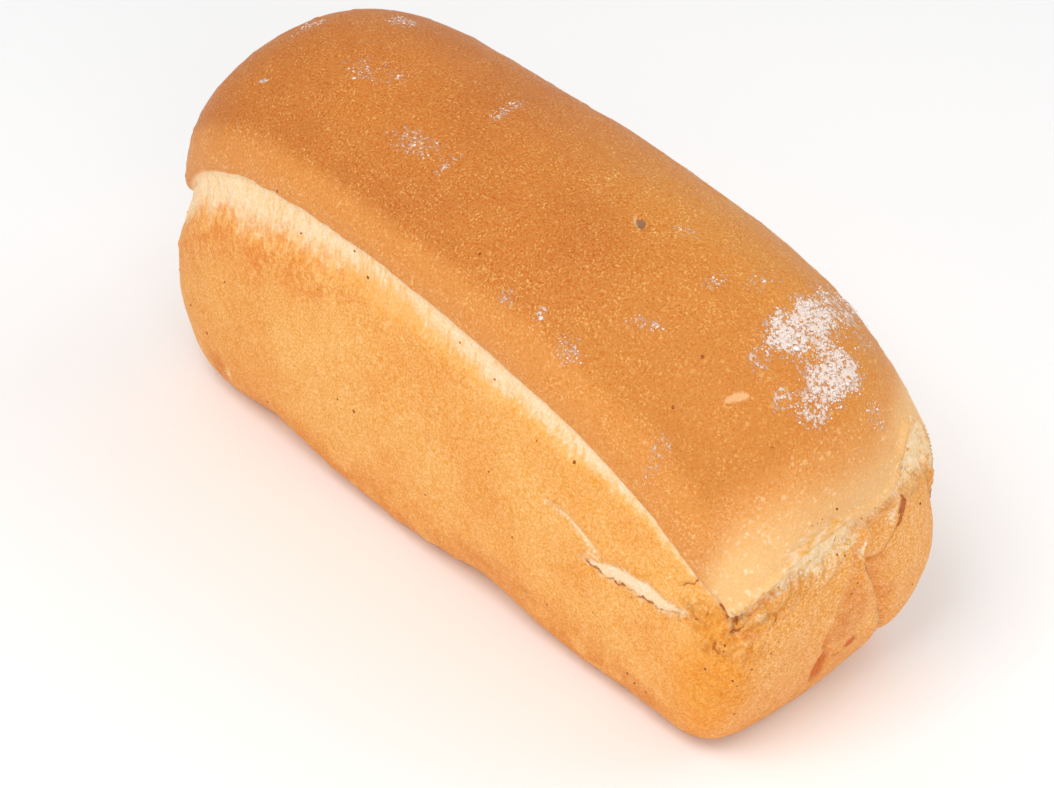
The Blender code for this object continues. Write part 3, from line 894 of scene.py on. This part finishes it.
class Tree:
    """The node tree of a new material, whose patterns are in millimetres of Object coordinates."""

    def __init__(self, name):
        self.material = bpy.data.materials.new(name)
        self.material.use_nodes = True
        self.nodes = self.material.node_tree.nodes
        self.shader = self.nodes["Principled BSDF"]
        self.shader.inputs["Specular IOR Level"].default_value = 0.3
        metres = self.node("ShaderNodeTexCoord", {}, {}, "Object")
        self.place = self.vector("SCALE", {0: metres, "Scale": 1.0 / MM})

    def connect(self, value, socket):
        """Sets a socket to a value, or links a wire to it."""
        if isinstance(value, Wire):
            self.material.node_tree.links.new(value.socket, socket)
        else:
            socket.default_value = value

    def node(self, kind, settings, values, output=0):
        """Adds a node: its settings first, then the values or wires of its sockets."""
        made = self.nodes.new(kind)
        for name, value in settings.items():
            setattr(made, name, value)
        for name, value in values.items():
            self.connect(value, made.inputs[name])
        return Wire(self, made.outputs[output])

    def vector(self, operation, values, output="Vector"):
        """Adds a Vector Math node."""
        return self.node("ShaderNodeVectorMath", {"operation": operation}, values, output)

    def stored(self, name):
        """The number that the mesh keeps for each vertex under this name."""
        return self.node("ShaderNodeAttribute", {"attribute_name": name}, {}, "Fac")

    def noise(self, size, detail=2.0, roughness=0.5, stretch=(1.0, 1.0, 1.0), distortion=0.0, output=0):
        """Noise of a size in millimetres, stretched along the axes, about 0.5 in the middle."""
        squeeze = tuple(1.0 / share for share in stretch)
        values = {"Vector": self.vector("MULTIPLY", {0: self.place, 1: squeeze}), "Scale": 1.0 / size,
                  "Detail": detail, "Roughness": roughness, "Distortion": distortion}
        return self.node("ShaderNodeTexNoise", {}, values, output)

    def wander(self, size, amount):
        """Noise of the size as a vector, up to about half the amount to each side along X and Y."""
        moved = self.vector("SUBTRACT", {0: self.noise(size, 3.0, 0.6, output="Color"), 1: (0.5, 0.5, 0.5)})
        return self.vector("MULTIPLY", {0: moved, 1: (amount, amount, 0.0)})

    def cells(self, size, wander):
        """Distance to the nearest of points about a size in millimetres apart, from a moved place."""
        place = self.vector("ADD", {0: self.place, 1: wander})
        return self.node("ShaderNodeTexVoronoi", {}, {"Vector": place, "Scale": 1.0 / size}, "Distance")

    def line(self, name, wander):
        """Distance in millimetres from the side of the nearest strand of a kind, made ragged.

        Halfway between two strands the steps cancel out, so the stored distance has to agree.
        """
        step = self.node("ShaderNodeAttribute", {"attribute_name": name + "_step"}, {}, "Vector")
        half = self.node("ShaderNodeSeparateXYZ", {}, {0: step}, "Z")
        away = self.vector("MULTIPLY_ADD", {0: step, 1: (1.0, 1.0, 0.0), 2: wander})
        return (self.vector("LENGTH", {0: away}, "Value") - half).most(self.stored(name) - LINE_REACH)

    def blend(self, mask, under, over):
        """One colour over another, as far as the mask says."""
        return self.node("ShaderNodeMix", {"data_type": "RGBA"}, {0: mask, 6: under, 7: over}, 2)

    def coated(self, colour, *coats):
        """A colour under coats, each of which is a mask and its own colour."""
        for mask, over in coats:
            colour = self.blend(mask, colour, over)
        return colour

    def tone(self, colour, number):
        """A colour made paler where the number is above 0 and browner where it is below."""
        share = self.vector("MULTIPLY_ADD", {0: number, 1: (0.2, 0.7, 2.1), 2: (1.0, 1.0, 1.0)})
        return self.vector("MULTIPLY", {0: colour, 1: share})

    def bump(self, height, depth):
        """A normal bent by a height from 0 to 1, whose full depth is in metres."""
        return self.node("ShaderNodeBump", {}, {"Height": height, "Distance": depth})

    def finish(self, colour, roughness, normal):
        """Feeds the shader and returns the material."""
        self.connect(colour, self.shader.inputs["Base Color"])
        self.connect(roughness, self.shader.inputs["Roughness"])
        self.connect(normal, self.shader.inputs["Normal"])
        return self.material


def paint(red, green, blue):
    """A colour given as screen values from 0 to 255, as linear red, green, blue and alpha."""
    shares = (value / 255.0 for value in (red, green, blue))
    return (*(s / 12.92 if s <= 0.04045 else ((s + 0.055) / 1.055) ** 2.4 for s in shares), 1.0)


def top_crust(tree, colours):
    """The top crust: orange-brown, thick with fine light specks on its blisters, partly painted highlight,
    paler to its rim and near edge.
    """
    mottle = tree.noise(40.0, 3.0, 0.5).rise(0.34, 0.66)
    cloud = tree.noise(16.0, 3.0, 0.55) - 0.5
    side = (tree.stored("side") + cloud * 0.5).rise(0.1, 0.9)
    pale = tree.stored("pale") + cloud * 0.2
    # The warm coat is painted light on the back half of the top, and at half strength over the near half.
    colour = tree.coated(colours.top_dark, (mottle, colours.top_light),
                         (tree.stored("warm_and_lit"), colours.top_warm_and_lit), (side * 0.85, colours.top_side),
                         (pale.rise(0.0, 0.6), colours.near_gold), (pale.rise(0.45, 1.1), colours.near_pale))
    fine = tree.noise(0.75, 2.0, 0.65)
    thick = tree.noise(8.0, 3.0, 0.6).rise(0.35, 0.65) * 0.7 + 0.35
    even = tree.stored("smooth")
    bare = (1.0 - side.most(even) * 0.4) * (1.0 - pale.rise(0.3, 0.9) * 0.6)
    dots = tree.cells(2.6, tree.wander(1.1, 1.6)).rise(0.3, 0.14) * tree.noise(7.0, 2.0, 0.6).rise(0.42, 0.56)
    # The light specks sit on the tops of the fine bumps that the same noise raises: partly paler blisters,
    # partly painted highlight.
    speckle = (fine.rise(0.54, 0.7) * thick * 1.9 - fine.rise(0.46, 0.33) * 0.6) * bare
    scabs = tree.cells(5.2, tree.wander(1.4, 2.6)).rise(0.2, 0.12) * tree.noise(12.0).rise(0.42, 0.52)
    colour = tree.tone(colour, speckle + dots * 0.4 + scabs * (even * 0.5 - pale * 0.25 + 0.2))
    height = fine * 1.5 + tree.noise(2.2, 3.0, 0.6) * 0.7
    return colour, height


def wall_crust(tree, colours):
    """The walls, baked against the tin: even gold, browner at the foot, and tinted here and there."""
    mottle = tree.noise(32.0, 3.0, 0.55).rise(0.35, 0.65)
    foot = tree.stored("foot") * tree.noise(9.0, 3.0, 0.6).rise(0.3, 0.6)
    return tree.coated(colours.wall_dark, (mottle, colours.wall_light), (foot, colours.wall_foot),
                       (tree.stored("end") * 0.6, colours.end_wall))


def wall_grain(tree):
    """The fine grain of light and brown dots on every wall: its tone, and its height."""
    grain = tree.noise(0.85, 3.0, 0.7)
    scuffs = tree.noise(3.4, 4.0, 0.7, (1.0, 1.0, 1.8))
    tone = grain.rise(0.46, 0.72) * 0.72 - grain.rise(0.5, 0.3) * 0.3 + (scuffs - 0.5) * 0.7 - 0.1
    return tone, grain * 1.1 + scuffs * 0.8


def torn_crumb(tree, colours, reach):
    """Torn dough: cream under the crust and golden lower down, with short upright streaks."""
    streaks = tree.noise(1.5, 3.0, 0.6, (1.0, 1.0, 3.0))
    toasted = reach + (streaks - 0.5) * 0.7 + tree.stored("toast") * 0.4 - tree.stored("end") * 0.4
    colour = tree.coated(colours.torn_cream, (toasted.rise(0.45, 1.1), colours.torn_gold),
                         (streaks.rise(0.54, 0.66) * 0.6, colours.torn_gold),
                         (streaks.rise(0.45, 0.34) * 0.5, colours.torn_pale))
    bubbles = tree.noise(0.9, 2.0, 0.6)
    return colour, streaks * 0.9 + bubbles * 0.7


def crust_material(colours):
    """The loaf's crust. The mesh says where the top crust, the torn crumb and the flour are."""
    tree = Tree("crust")
    below, reach, near = tree.stored("below"), tree.stored("reach"), tree.stored("end")
    top = (below + (tree.noise(1.6, 3.0, 0.6) - 0.5) * near * 2.0).rise(0.35, -0.35)

    grain, height = wall_grain(tree)
    torn_colour, torn_height = torn_crumb(tree, colours, reach)
    top_colour, top_height = top_crust(tree, colours)

    fringe = tree.noise(2.0, 4.0, 0.7, (1.0, 1.0, 2.6))
    torn = (reach + (fringe - 0.5) * 1.3).rise(1.3, 0.6)
    scorch = tree.stored("scorch") * (fringe * 0.5 + tree.noise(3.6, 3.0, 0.6) * 0.5).rise(0.44, 0.56)
    colour = tree.coated(wall_crust(tree, colours), (scorch * 0.75, colours.wall_scorch), (torn, torn_colour),
                         (scorch * torn * reach.rise(0.4, 0.9) * 0.6, colours.wall_scorch))
    height = height.toward(torn_height, torn)

    cloud = tree.noise(3.4, 4.0, 0.65) - 0.5
    # Khaki is painted shade, and so is one brown oval on the near end; the other tints are the crust's own
    # colours.
    for name in TINTS:
        strength = tree.stored(name)
        mask = strength * (strength + cloud * 1.4).rise(0.0, 1.0)
        colour = tree.blend(mask, colour, getattr(colours, name))

    wander = tree.wander(2.4, 2.2)
    front = tree.stored("front")
    # On the tear's thin start the pale colour is a painted highlight on the crust's lip; on the wide strip it
    # is torn crumb.
    off_tear = tree.line("front_tear", wander) + (tree.noise(2.6, 4.0, 0.7) - 0.5) * 2.6
    tear = off_tear.rise(0.5, -1.2) * front
    colour = tree.coated(colour, (off_tear.rise(2.2, -0.4) * front * 0.5, colours.torn_cream),
                         (tear * 0.9, colours.torn_pale))
    height = height.toward(torn_height, tear)

    crumple = tree.stored("crumple")
    # Creases in the crumpled dough and the wrinkle strands are painted darker, partly as painted shade in
    # their folds.
    creased = (reach.rise(0.3, 0.8) * reach.rise(2.2, 1.2) * near).most(crumple)
    creases = tree.noise(5.0, 4.0, 0.6, (1.0, 1.0, 1.6), 0.4) - 0.5
    creases = creases.size().rise(0.045, 0.0) * creased * cloud.rise(-0.1, 0.1)
    wrinkles = (tree.line("near_wrinkle", wander).rise(0.9, -0.3) * near).most(creases * 0.7)
    cracks = tree.line("near_crack", wander).rise(0.25, -0.2) * near
    cracks = cracks.most(tree.line("front_crack", wander).rise(0.3, -0.2) * tree.stored("corner"))
    # The crumpled crust by the near corner is toned by the noise that raises its lumps: paler tops and
    # browner hollows, partly painted light and shade.
    lumps = (tree.noise(2.4, 4.0, 0.7) - 0.5) * crumple
    grainy = (near * 0.25 + 1.0) * (1.0 - torn.most(tear) * 0.6)
    colour = tree.tone(colour, grain * grainy + lumps * 1.8 - near * 0.02)
    height = (height + lumps * 3.0).toward(top_height, top)

    rim_fold = tree.stored("rim_fold")
    # The wrinkled skin over the near edge is toned by the same noise that raises it: painted light on its
    # ridges and painted shade in its folds.
    folds = (tree.noise(1.3, 3.0, 0.7, (1.0, 4.5, 1.7)) - 0.5) * rim_fold
    colour = tree.coated(colour, (top, top_colour), (rim_fold * 0.6, colours.rim_fold))
    # Cracks are painted darker: partly their browner crust, partly painted shade in their depths and a
    # painted shadow beside the flap.
    colour = tree.coated(tree.tone(colour, folds * 2.4), (wrinkles * 0.7, colours.wrinkle),
                         (cracks * (cloud * 0.6 + 0.9), colours.crack))
    height = height + folds * 3.0 - wrinkles * 0.5 - cracks

    density = tree.stored("flour")
    dust = tree.noise(1.35, 3.0, 0.65)
    swept = density + (tree.noise(5.0, 3.0, 0.6) - 0.5) * 0.9
    flour = (swept * 0.62 + (dust - 0.5) * 2.4).rise(0.3, 0.66) * density.rise(0.04, 0.22)
    # The hole is painted dark inside, as painted shade.
    hole = tree.stored("hole") + (tree.noise(1.4) - 0.5) * 0.7
    mark = tree.line("top_mark", wander).rise(0.3, -0.5) * top
    colour = tree.coated(colour, (flour * (density * 0.45 + 0.45), colours.flour),
                         (hole.rise(1.1, 0.85), colours.hole), (mark * 0.6, colours.scab))
    roughness = 0.46 + flour * 0.35 + (1.0 - top) * 0.14
    return tree.finish(colour, roughness, tree.bump(height + flour * 0.8, colours.bump_depth))


def lump_material(name, light, dark, size, roughness):
    """Small lumps: a colour mottled with a darker one, and a rough surface."""
    tree = Tree(name)
    grain = tree.noise(size, 3.0, 0.6)
    colour = tree.blend(grain.rise(0.35, 0.65), light, dark)
    return tree.finish(colour, grain * 0.2 + roughness, tree.bump(grain, 0.1 * MM))


# ---- What a user may change --------------------------------------------------------------------

def depth(name, description, millimetres):
    """A length property, given in millimetres."""
    return FloatProperty(name=name, description=description, default=millimetres * MM,
                         min=0.0, unit="LENGTH", precision=5)


def colour(name, description, red, green, blue):
    """A colour property, given in screen values."""
    return FloatVectorProperty(name=name, description=description, default=paint(red, green, blue),
                               size=4, min=0.0, max=1.0, subtype="COLOR")


class LoafRelief(PropertyGroup):
    """Depths of the loaf's relief."""
    swell: depth("Swell", "Height of the crust's slow swells", 0.55)
    blister: depth("Blisters", "Height of the low blisters", 0.35)
    band_hollow: depth("Torn hollow", "How far the torn band lies in under the crust", 0.8)
    band_fibre: depth("Torn fibres", "Height of the torn band's upright fibres", 0.4)
    near_lip: depth("Near lip", "Height of the rolled crust edge on the near end", 1.4)
    rough: depth("Crumple", "Height of the crumpled dough on the near end", 1.1)
    crease: depth("Crease", "Step of the crease between the near end's lobes", 3.4)
    fold: depth("Fold", "Step of the fold on the near end", 2.8)
    crack: depth("Cracks", "Depth of the cracks", 0.8)
    wrinkle: depth("Wrinkles", "Depth of the fine wrinkles", 0.8)
    tear: depth("Tear", "Depth of the tear in the front wall", 1.0)
    hole: depth("Hole", "Depth of the hole in the top crust", 1.0)


class LoafColours(PropertyGroup):
    """Colours of the crust, the flour and the specks, and the depth of the finest bumps."""
    top_dark: colour("Top, dark", "Darker top crust", 204, 119, 43)
    top_light: colour("Top, light", "Lighter top crust", 212, 127, 48)
    top_side: colour("Top, side", "Smoother crust along the front and back rim", 233, 153, 72)
    # Top, warm: painted light on the back half of the top, and at half strength over its near half.
    top_warm_and_lit: colour("Top, warm", "Yellower top crust at the back", 222, 143, 58)
    scab: colour("Scab", "Larger pale scabs of the crust", 252, 202, 146)
    near_gold: colour("Near gold", "Crust towards the near end", 231, 155, 79)
    near_pale: colour("Near pale", "Palest crust on the near rim", 252, 200, 132)
    rim_fold: colour("Rim folds", "Wrinkled skin over the near edge", 246, 200, 148)
    wall_light: colour("Wall, light", "Lighter wall", 250, 182, 98)
    wall_dark: colour("Wall, dark", "Darker wall", 244, 168, 82)
    wall_foot: colour("Wall, foot", "Browner wall near the foot", 234, 148, 62)
    wall_scorch: colour("Wall, scorched", "Streaks under the torn band", 236, 140, 52)
    end_wall: colour("End wall", "The near end below its torn band", 244, 174, 102)
    torn_cream: colour("Torn, cream", "Torn crumb", 253, 218, 172)
    # Torn, pale: palest torn crumb, and on the tear's thin start a painted highlight on the crust's lip.
    torn_pale: colour("Torn, pale", "Palest streaks of the torn crumb", 255, 228, 190)
    torn_gold: colour("Torn, gold", "Browned streaks of the torn crumb", 250, 186, 104)
    gold: colour("Gold", "Yellower crust at the near corner", 244, 158, 56)
    # Brown: stains baked browner, and painted shade beside the fold on the near end.
    brown: colour("Brown", "Stains and folds baked browner", 214, 108, 28)
    # Khaki: painted shade on the dough under the crust's edge and in hollows.
    khaki_shade: colour("Khaki", "Shaded dough under the crust", 214, 156, 80)
    cream: colour("Cream", "Bare dough on the near end", 254, 224, 180)
    flour: colour("Flour", "Flour dust", 246, 230, 220)
    flour_light: colour("Flour, light", "Lighter side of the flour grains", 255, 246, 238)
    speck: colour("Speck", "Burnt specks", 192, 96, 40)
    speck_dark: colour("Speck, dark", "Darker side of the burnt specks", 126, 56, 24)
    # Wrinkle: fine wrinkles and creases, partly painted shade in their folds.
    wrinkle: colour("Wrinkle", "Fine wrinkles", 216, 140, 40)
    # Crack: browner crust of cracks and folds, with painted shade in their depths.
    crack: colour("Crack", "Depths of cracks and folds", 184, 86, 16)
    # Hole: painted shade inside the hole in the top.
    hole: colour("Hole", "Inside of the hole in the top", 158, 112, 78)
    bump_depth: depth("Bump depth", "Depth of the finest grain", 0.3)


class LoafScatter(PropertyGroup):
    """Flour, crumbs and specks."""
    flour_count: IntProperty(name="Flour grains", description="Number of flour grains", default=3200, min=0)
    flour_size: depth("Flour size", "Mean radius of a flour grain", 0.24)
    crumb_count: IntProperty(name="Crumbs", description="Number of crumbs", default=90, min=0)
    crumb_size: depth("Crumb size", "Mean radius of a crumb", 0.42)
    speck_count: IntProperty(name="Stray specks", description="Number of specks on the hidden walls",
                             default=40, min=0)
    seed: IntProperty(name="Seed", description="Changes every random place", default=7)


class LoafStage(PropertyGroup):
    """Floor and light."""
    floor: colour("Floor", "Floor colour", 254, 254, 254)
    world_light: FloatProperty(name="Room light", description="Strength of the even light", default=0.55)
    key_power: FloatProperty(name="Key light", description="Key light", default=11.0, unit="POWER")
    fill_power: FloatProperty(name="Fill light", description="Fill light", default=5.2, unit="POWER")
    back_power: FloatProperty(name="Back light", description="Back light", default=5.5, unit="POWER")
    floor_size: FloatProperty(name="Floor size", description="Side of the floor", default=8.0, unit="LENGTH")


# ---- Operators ---------------------------------------------------------------------------------

# What the first operator built, which the others lie on.
MADE = {}
# Added to the distance of a vertex that is on another face, in millimetres.
OUT_OF_REACH = 1000.0


class LOAF_OT_skin(Operator):
    """Build the loaf's skin with its relief and its crust"""
    bl_idname = "loaf.skin"
    bl_label = "Loaf skin"

    def execute(self, context):
        sizes, colours = context.scene.loaf_relief, context.scene.loaf_colours
        skin = Skin()
        below = below_crust(skin)
        ragged = fractal(skin.mm, 9.0, 4, 21, (1.0, 1.0, 2.5))
        reach = np.clip(below / band_height(skin) + 0.16 * ragged, -1.0, 4.0)
        hole = hole_distance(skin)
        fields = crust_fields(skin, below, reach, hole)
        skin.push(crust_height(skin, below, reach, hole, sizes))
        skin.fit()
        MADE["skin"] = skin
        MADE["flour"] = fields["flour"]

        made = mesh_object("loaf_skin", skin.points, [skin.quads(), skin.fan()])
        for name, values in fields.items():
            store(made, name, values)
        for name in LINES:
            store_line(made, name, skin.mm)
        store_chart(made, chart(skin))
        made.data.materials.append(crust_material(colours))
        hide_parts("loaf")
        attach(made, PIECE_BODY)
        return {"FINISHED"}


def built_skin():
    """The skin, which has to be there before anything can lie on it."""
    if "skin" not in MADE:
        raise RuntimeError("Build the loaf skin first")
    return MADE["skin"]


def place_scatter(name, lumps, material):
    """Makes one piece of all lumps of a kind."""
    made = mesh_object(name, lumps[0], [lumps[1]])
    made.data.materials.append(material)
    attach(made, PIECE_BODY)


class LOAF_OT_flour(Operator):
    """Scatter clumped grains of flour where the flour lies thickest"""
    bl_idname = "loaf.flour"
    bl_label = "Flour grains"

    def execute(self, context):
        scatter, skin = context.scene.loaf_scatter, built_skin()
        rng = np.random.default_rng(scatter.seed)
        clumps = smooth(0.4 + 1.8 * fractal(skin.mm, 2.6, 2, 95))
        weight = MADE["flour"] ** 2.5 * clumps
        places = rng.choice(len(weight), scatter.flour_count, p=weight / weight.sum())
        radii = scatter.flour_size * rng.lognormal(-0.1, 0.45, len(places))
        spread = rng.normal(0.0, 0.45 * MM, (len(places), 1, 3)) * (1.0, 1.0, 0.0)
        points, faces = scattered(skin, places, radii, 0.45, 0.25, rng)
        points = (points.reshape(len(places), -1, 3) + spread).reshape(-1, 3)
        colours = context.scene.loaf_colours
        material = lump_material("flour", colours.flour, colours.flour_light, 0.5, 0.8)
        place_scatter("flour", (points, faces), material)
        return {"FINISHED"}


class LOAF_OT_crumbs(Operator):
    """Scatter stuck crumbs over the walls and along the torn band"""
    bl_idname = "loaf.crumbs"
    bl_label = "Crumbs"

    def execute(self, context):
        scatter, skin = context.scene.loaf_scatter, built_skin()
        rng = np.random.default_rng(scatter.seed + 1)
        y, z = skin.mm[:, 1], skin.mm[:, 2]
        rough = near_face(skin) * eased(y, 15.0, 8.0) * eased(z, 66.0, 8.0)
        walls = skin.is_wall * eased(z, 6.0, 10.0) * (skin.drop > 4.0)
        weight = 0.12 * walls + walls * 0.4 * skin.far + 3.0 * rough * (z < 99.0)
        places = rng.choice(len(weight), scatter.crumb_count, p=weight / weight.sum())
        radii = scatter.crumb_size * rng.lognormal(-0.1, 0.35, len(places))
        lumps = scattered(skin, places, radii, 0.6, 0.35, rng, rings=6, sectors=9)
        colours = context.scene.loaf_colours
        material = lump_material("crumbs", colours.torn_gold, colours.wall_foot, 1.2, 0.6)
        place_scatter("crumbs", lumps, material)
        return {"FINISHED"}


class LOAF_OT_specks(Operator):
    """Set burnt specks into the crust: the marked ones, and stray ones on the hidden walls"""
    bl_idname = "loaf.specks"
    bl_label = "Burnt specks"

    def execute(self, context):
        scatter, skin = context.scene.loaf_scatter, built_skin()
        rng = np.random.default_rng(scatter.seed + 2)
        x, y, z = skin.mm.T
        faces = ((x, z, skin.front, FRONT_SPECKS), (y, z, skin.near, NEAR_SPECKS),
                 (x, y, ~skin.is_wall, TOP_SPECKS))
        places, radii = [], []
        for a, b, weight, specks in faces:
            elsewhere = OUT_OF_REACH * (weight < 0.5)
            for a0, b0, radius in specks:
                places.append(np.argmin(np.hypot(a - a0, b - b0) + elsewhere))
                radii.append(radius)
        hidden = (skin.back + skin.far) * skin.is_wall
        places.extend(rng.choice(len(hidden), scatter.speck_count, p=hidden / hidden.sum()))
        radii.extend(rng.uniform(0.3, 0.6, scatter.speck_count))
        lumps = scattered(skin, np.array(places), np.array(radii) * MM, 0.35, 0.2, rng, rings=6, sectors=9)
        colours = context.scene.loaf_colours
        material = lump_material("specks", colours.speck, colours.speck_dark, 0.8, 0.6)
        place_scatter("specks", lumps, material)
        return {"FINISHED"}


# ---- Stage -------------------------------------------------------------------------------------

CAMERA_AZIMUTH = math.radians(43.673)
CAMERA_ELEVATION = math.radians(39.572)
CAMERA_ROLL = math.radians(3.812)
CAMERA_TARGET = Vector((-40.77 * MM, 38.80 * MM, 0.0))
CAMERA_DISTANCE = 1102.66 * MM
CAMERA_LENS = 105.21
# Lamps: azimuth and elevation in degrees, distance and side in metres.
KEY_PLACE = (5.0, 60.0, 1.6, 0.8)
FILL_PLACE = (58.0, 26.0, 1.8, 0.9)
BACK_PLACE = (150.0, 45.0, 1.8, 1.2)


def looking_from(target, azimuth, elevation, distance, roll=0.0):
    """Matrix of a camera or lamp that looks at the target. Azimuth 0 looks along +Y, right is +X."""
    back = Vector((math.sin(azimuth) * math.cos(elevation), -math.cos(azimuth) * math.cos(elevation),
                   math.sin(elevation)))
    right = Vector((math.cos(azimuth), math.sin(azimuth), 0.0))
    up = back.cross(right)
    turned_right = right * math.cos(roll) + up * math.sin(roll)
    turned_up = up * math.cos(roll) - right * math.sin(roll)
    turn = Matrix((turned_right, turned_up, back)).transposed().to_4x4()
    return Matrix.Translation(target + back * distance) @ turn


def soft_lamp(name, azimuth, elevation, distance, size, power):
    """A square area lamp that points at the loaf."""
    lamp = bpy.data.lights.new(name, "AREA")
    lamp.size = size
    lamp.energy = power
    made = bpy.data.objects.new(name, lamp)
    middle = (LOAF_LOW + LOAF_HIGH) / 2
    made.matrix_world = looking_from(middle, math.radians(azimuth), math.radians(elevation), distance)
    bpy.context.scene.collection.objects.link(made)


class LOAF_OT_stage(Operator):
    """Set up the camera, the pale floor and the soft light"""
    bl_idname = "loaf.stage"
    bl_label = "Stage"

    def execute(self, context):
        scene, stage = context.scene, context.scene.loaf_stage
        camera = bpy.data.objects.new("camera", bpy.data.cameras.new("camera"))
        camera.data.lens = CAMERA_LENS
        camera.data.clip_end = 20.0
        camera.matrix_world = looking_from(CAMERA_TARGET, CAMERA_AZIMUTH, CAMERA_ELEVATION,
                                           CAMERA_DISTANCE, CAMERA_ROLL)
        scene.collection.objects.link(camera)
        scene.camera = camera

        half = stage.floor_size / 2
        corners = half * np.array([(-1.0, -1.0, 0.0), (1.0, -1.0, 0.0), (1.0, 1.0, 0.0), (-1.0, 1.0, 0.0)])
        floor = mesh_object("floor", corners, [np.array([[0, 1, 2, 3]])])
        tree = Tree("floor")
        floor.data.materials.append(tree.finish(stage.floor, 0.8, tree.bump(tree.noise(3.0), 0.01 * MM)))

        world = bpy.data.worlds.new("room")
        world.use_nodes = True
        background = world.node_tree.nodes["Background"]
        background.inputs["Color"].default_value = (1.0, 1.0, 1.0, 1.0)
        background.inputs["Strength"].default_value = stage.world_light
        scene.world = world
        soft_lamp("key", *KEY_PLACE, stage.key_power)
        soft_lamp("fill", *FILL_PLACE, stage.fill_power)
        soft_lamp("back", *BACK_PLACE, stage.back_power)
        scene.view_settings.view_transform = "Standard"
        return {"FINISHED"}


class LOAF_PT_panel(Panel):
    """Lists the loaf's pieces and what can be changed"""
    bl_idname = "LOAF_PT_panel"
    bl_label = "Tin loaf"
    bl_space_type = "VIEW_3D"
    bl_region_type = "UI"
    bl_category = "Tin loaf"

    def draw(self, context):
        for operator, groups in STEPS:
            box = self.layout.box()
            box.operator(operator.bl_idname)
            for group in groups:
                settings = getattr(context.scene, group)
                for name in type(settings).__annotations__:
                    box.prop(settings, name)


STEPS = (
    (LOAF_OT_skin, ("loaf_relief", "loaf_colours")),
    (LOAF_OT_flour, ("loaf_scatter",)),
    (LOAF_OT_crumbs, ()),
    (LOAF_OT_specks, ()),
    (LOAF_OT_stage, ("loaf_stage",)),
)
GROUPS = {
    "loaf_relief": LoafRelief,
    "loaf_colours": LoafColours,
    "loaf_scatter": LoafScatter,
    "loaf_stage": LoafStage,
}
CLASSES = (*GROUPS.values(), *(operator for operator, _ in STEPS), LOAF_PT_panel)


def register():
    """Registers the classes and gives the scene its settings."""
    for one in CLASSES:
        bpy.utils.register_class(one)
    for name, group in GROUPS.items():
        setattr(bpy.types.Scene, name, PointerProperty(type=group))


def unregister():
    """Takes the settings and the classes away again."""
    for name in GROUPS:
        delattr(bpy.types.Scene, name)
    for one in reversed(CLASSES):
        bpy.utils.unregister_class(one)


def main():
    """Builds every piece and the stage."""
    register()
    bpy.ops.loaf.skin()
    bpy.ops.loaf.flour()
    bpy.ops.loaf.crumbs()
    bpy.ops.loaf.specks()
    bpy.ops.loaf.stage()


if __name__ == "__main__":
    main()
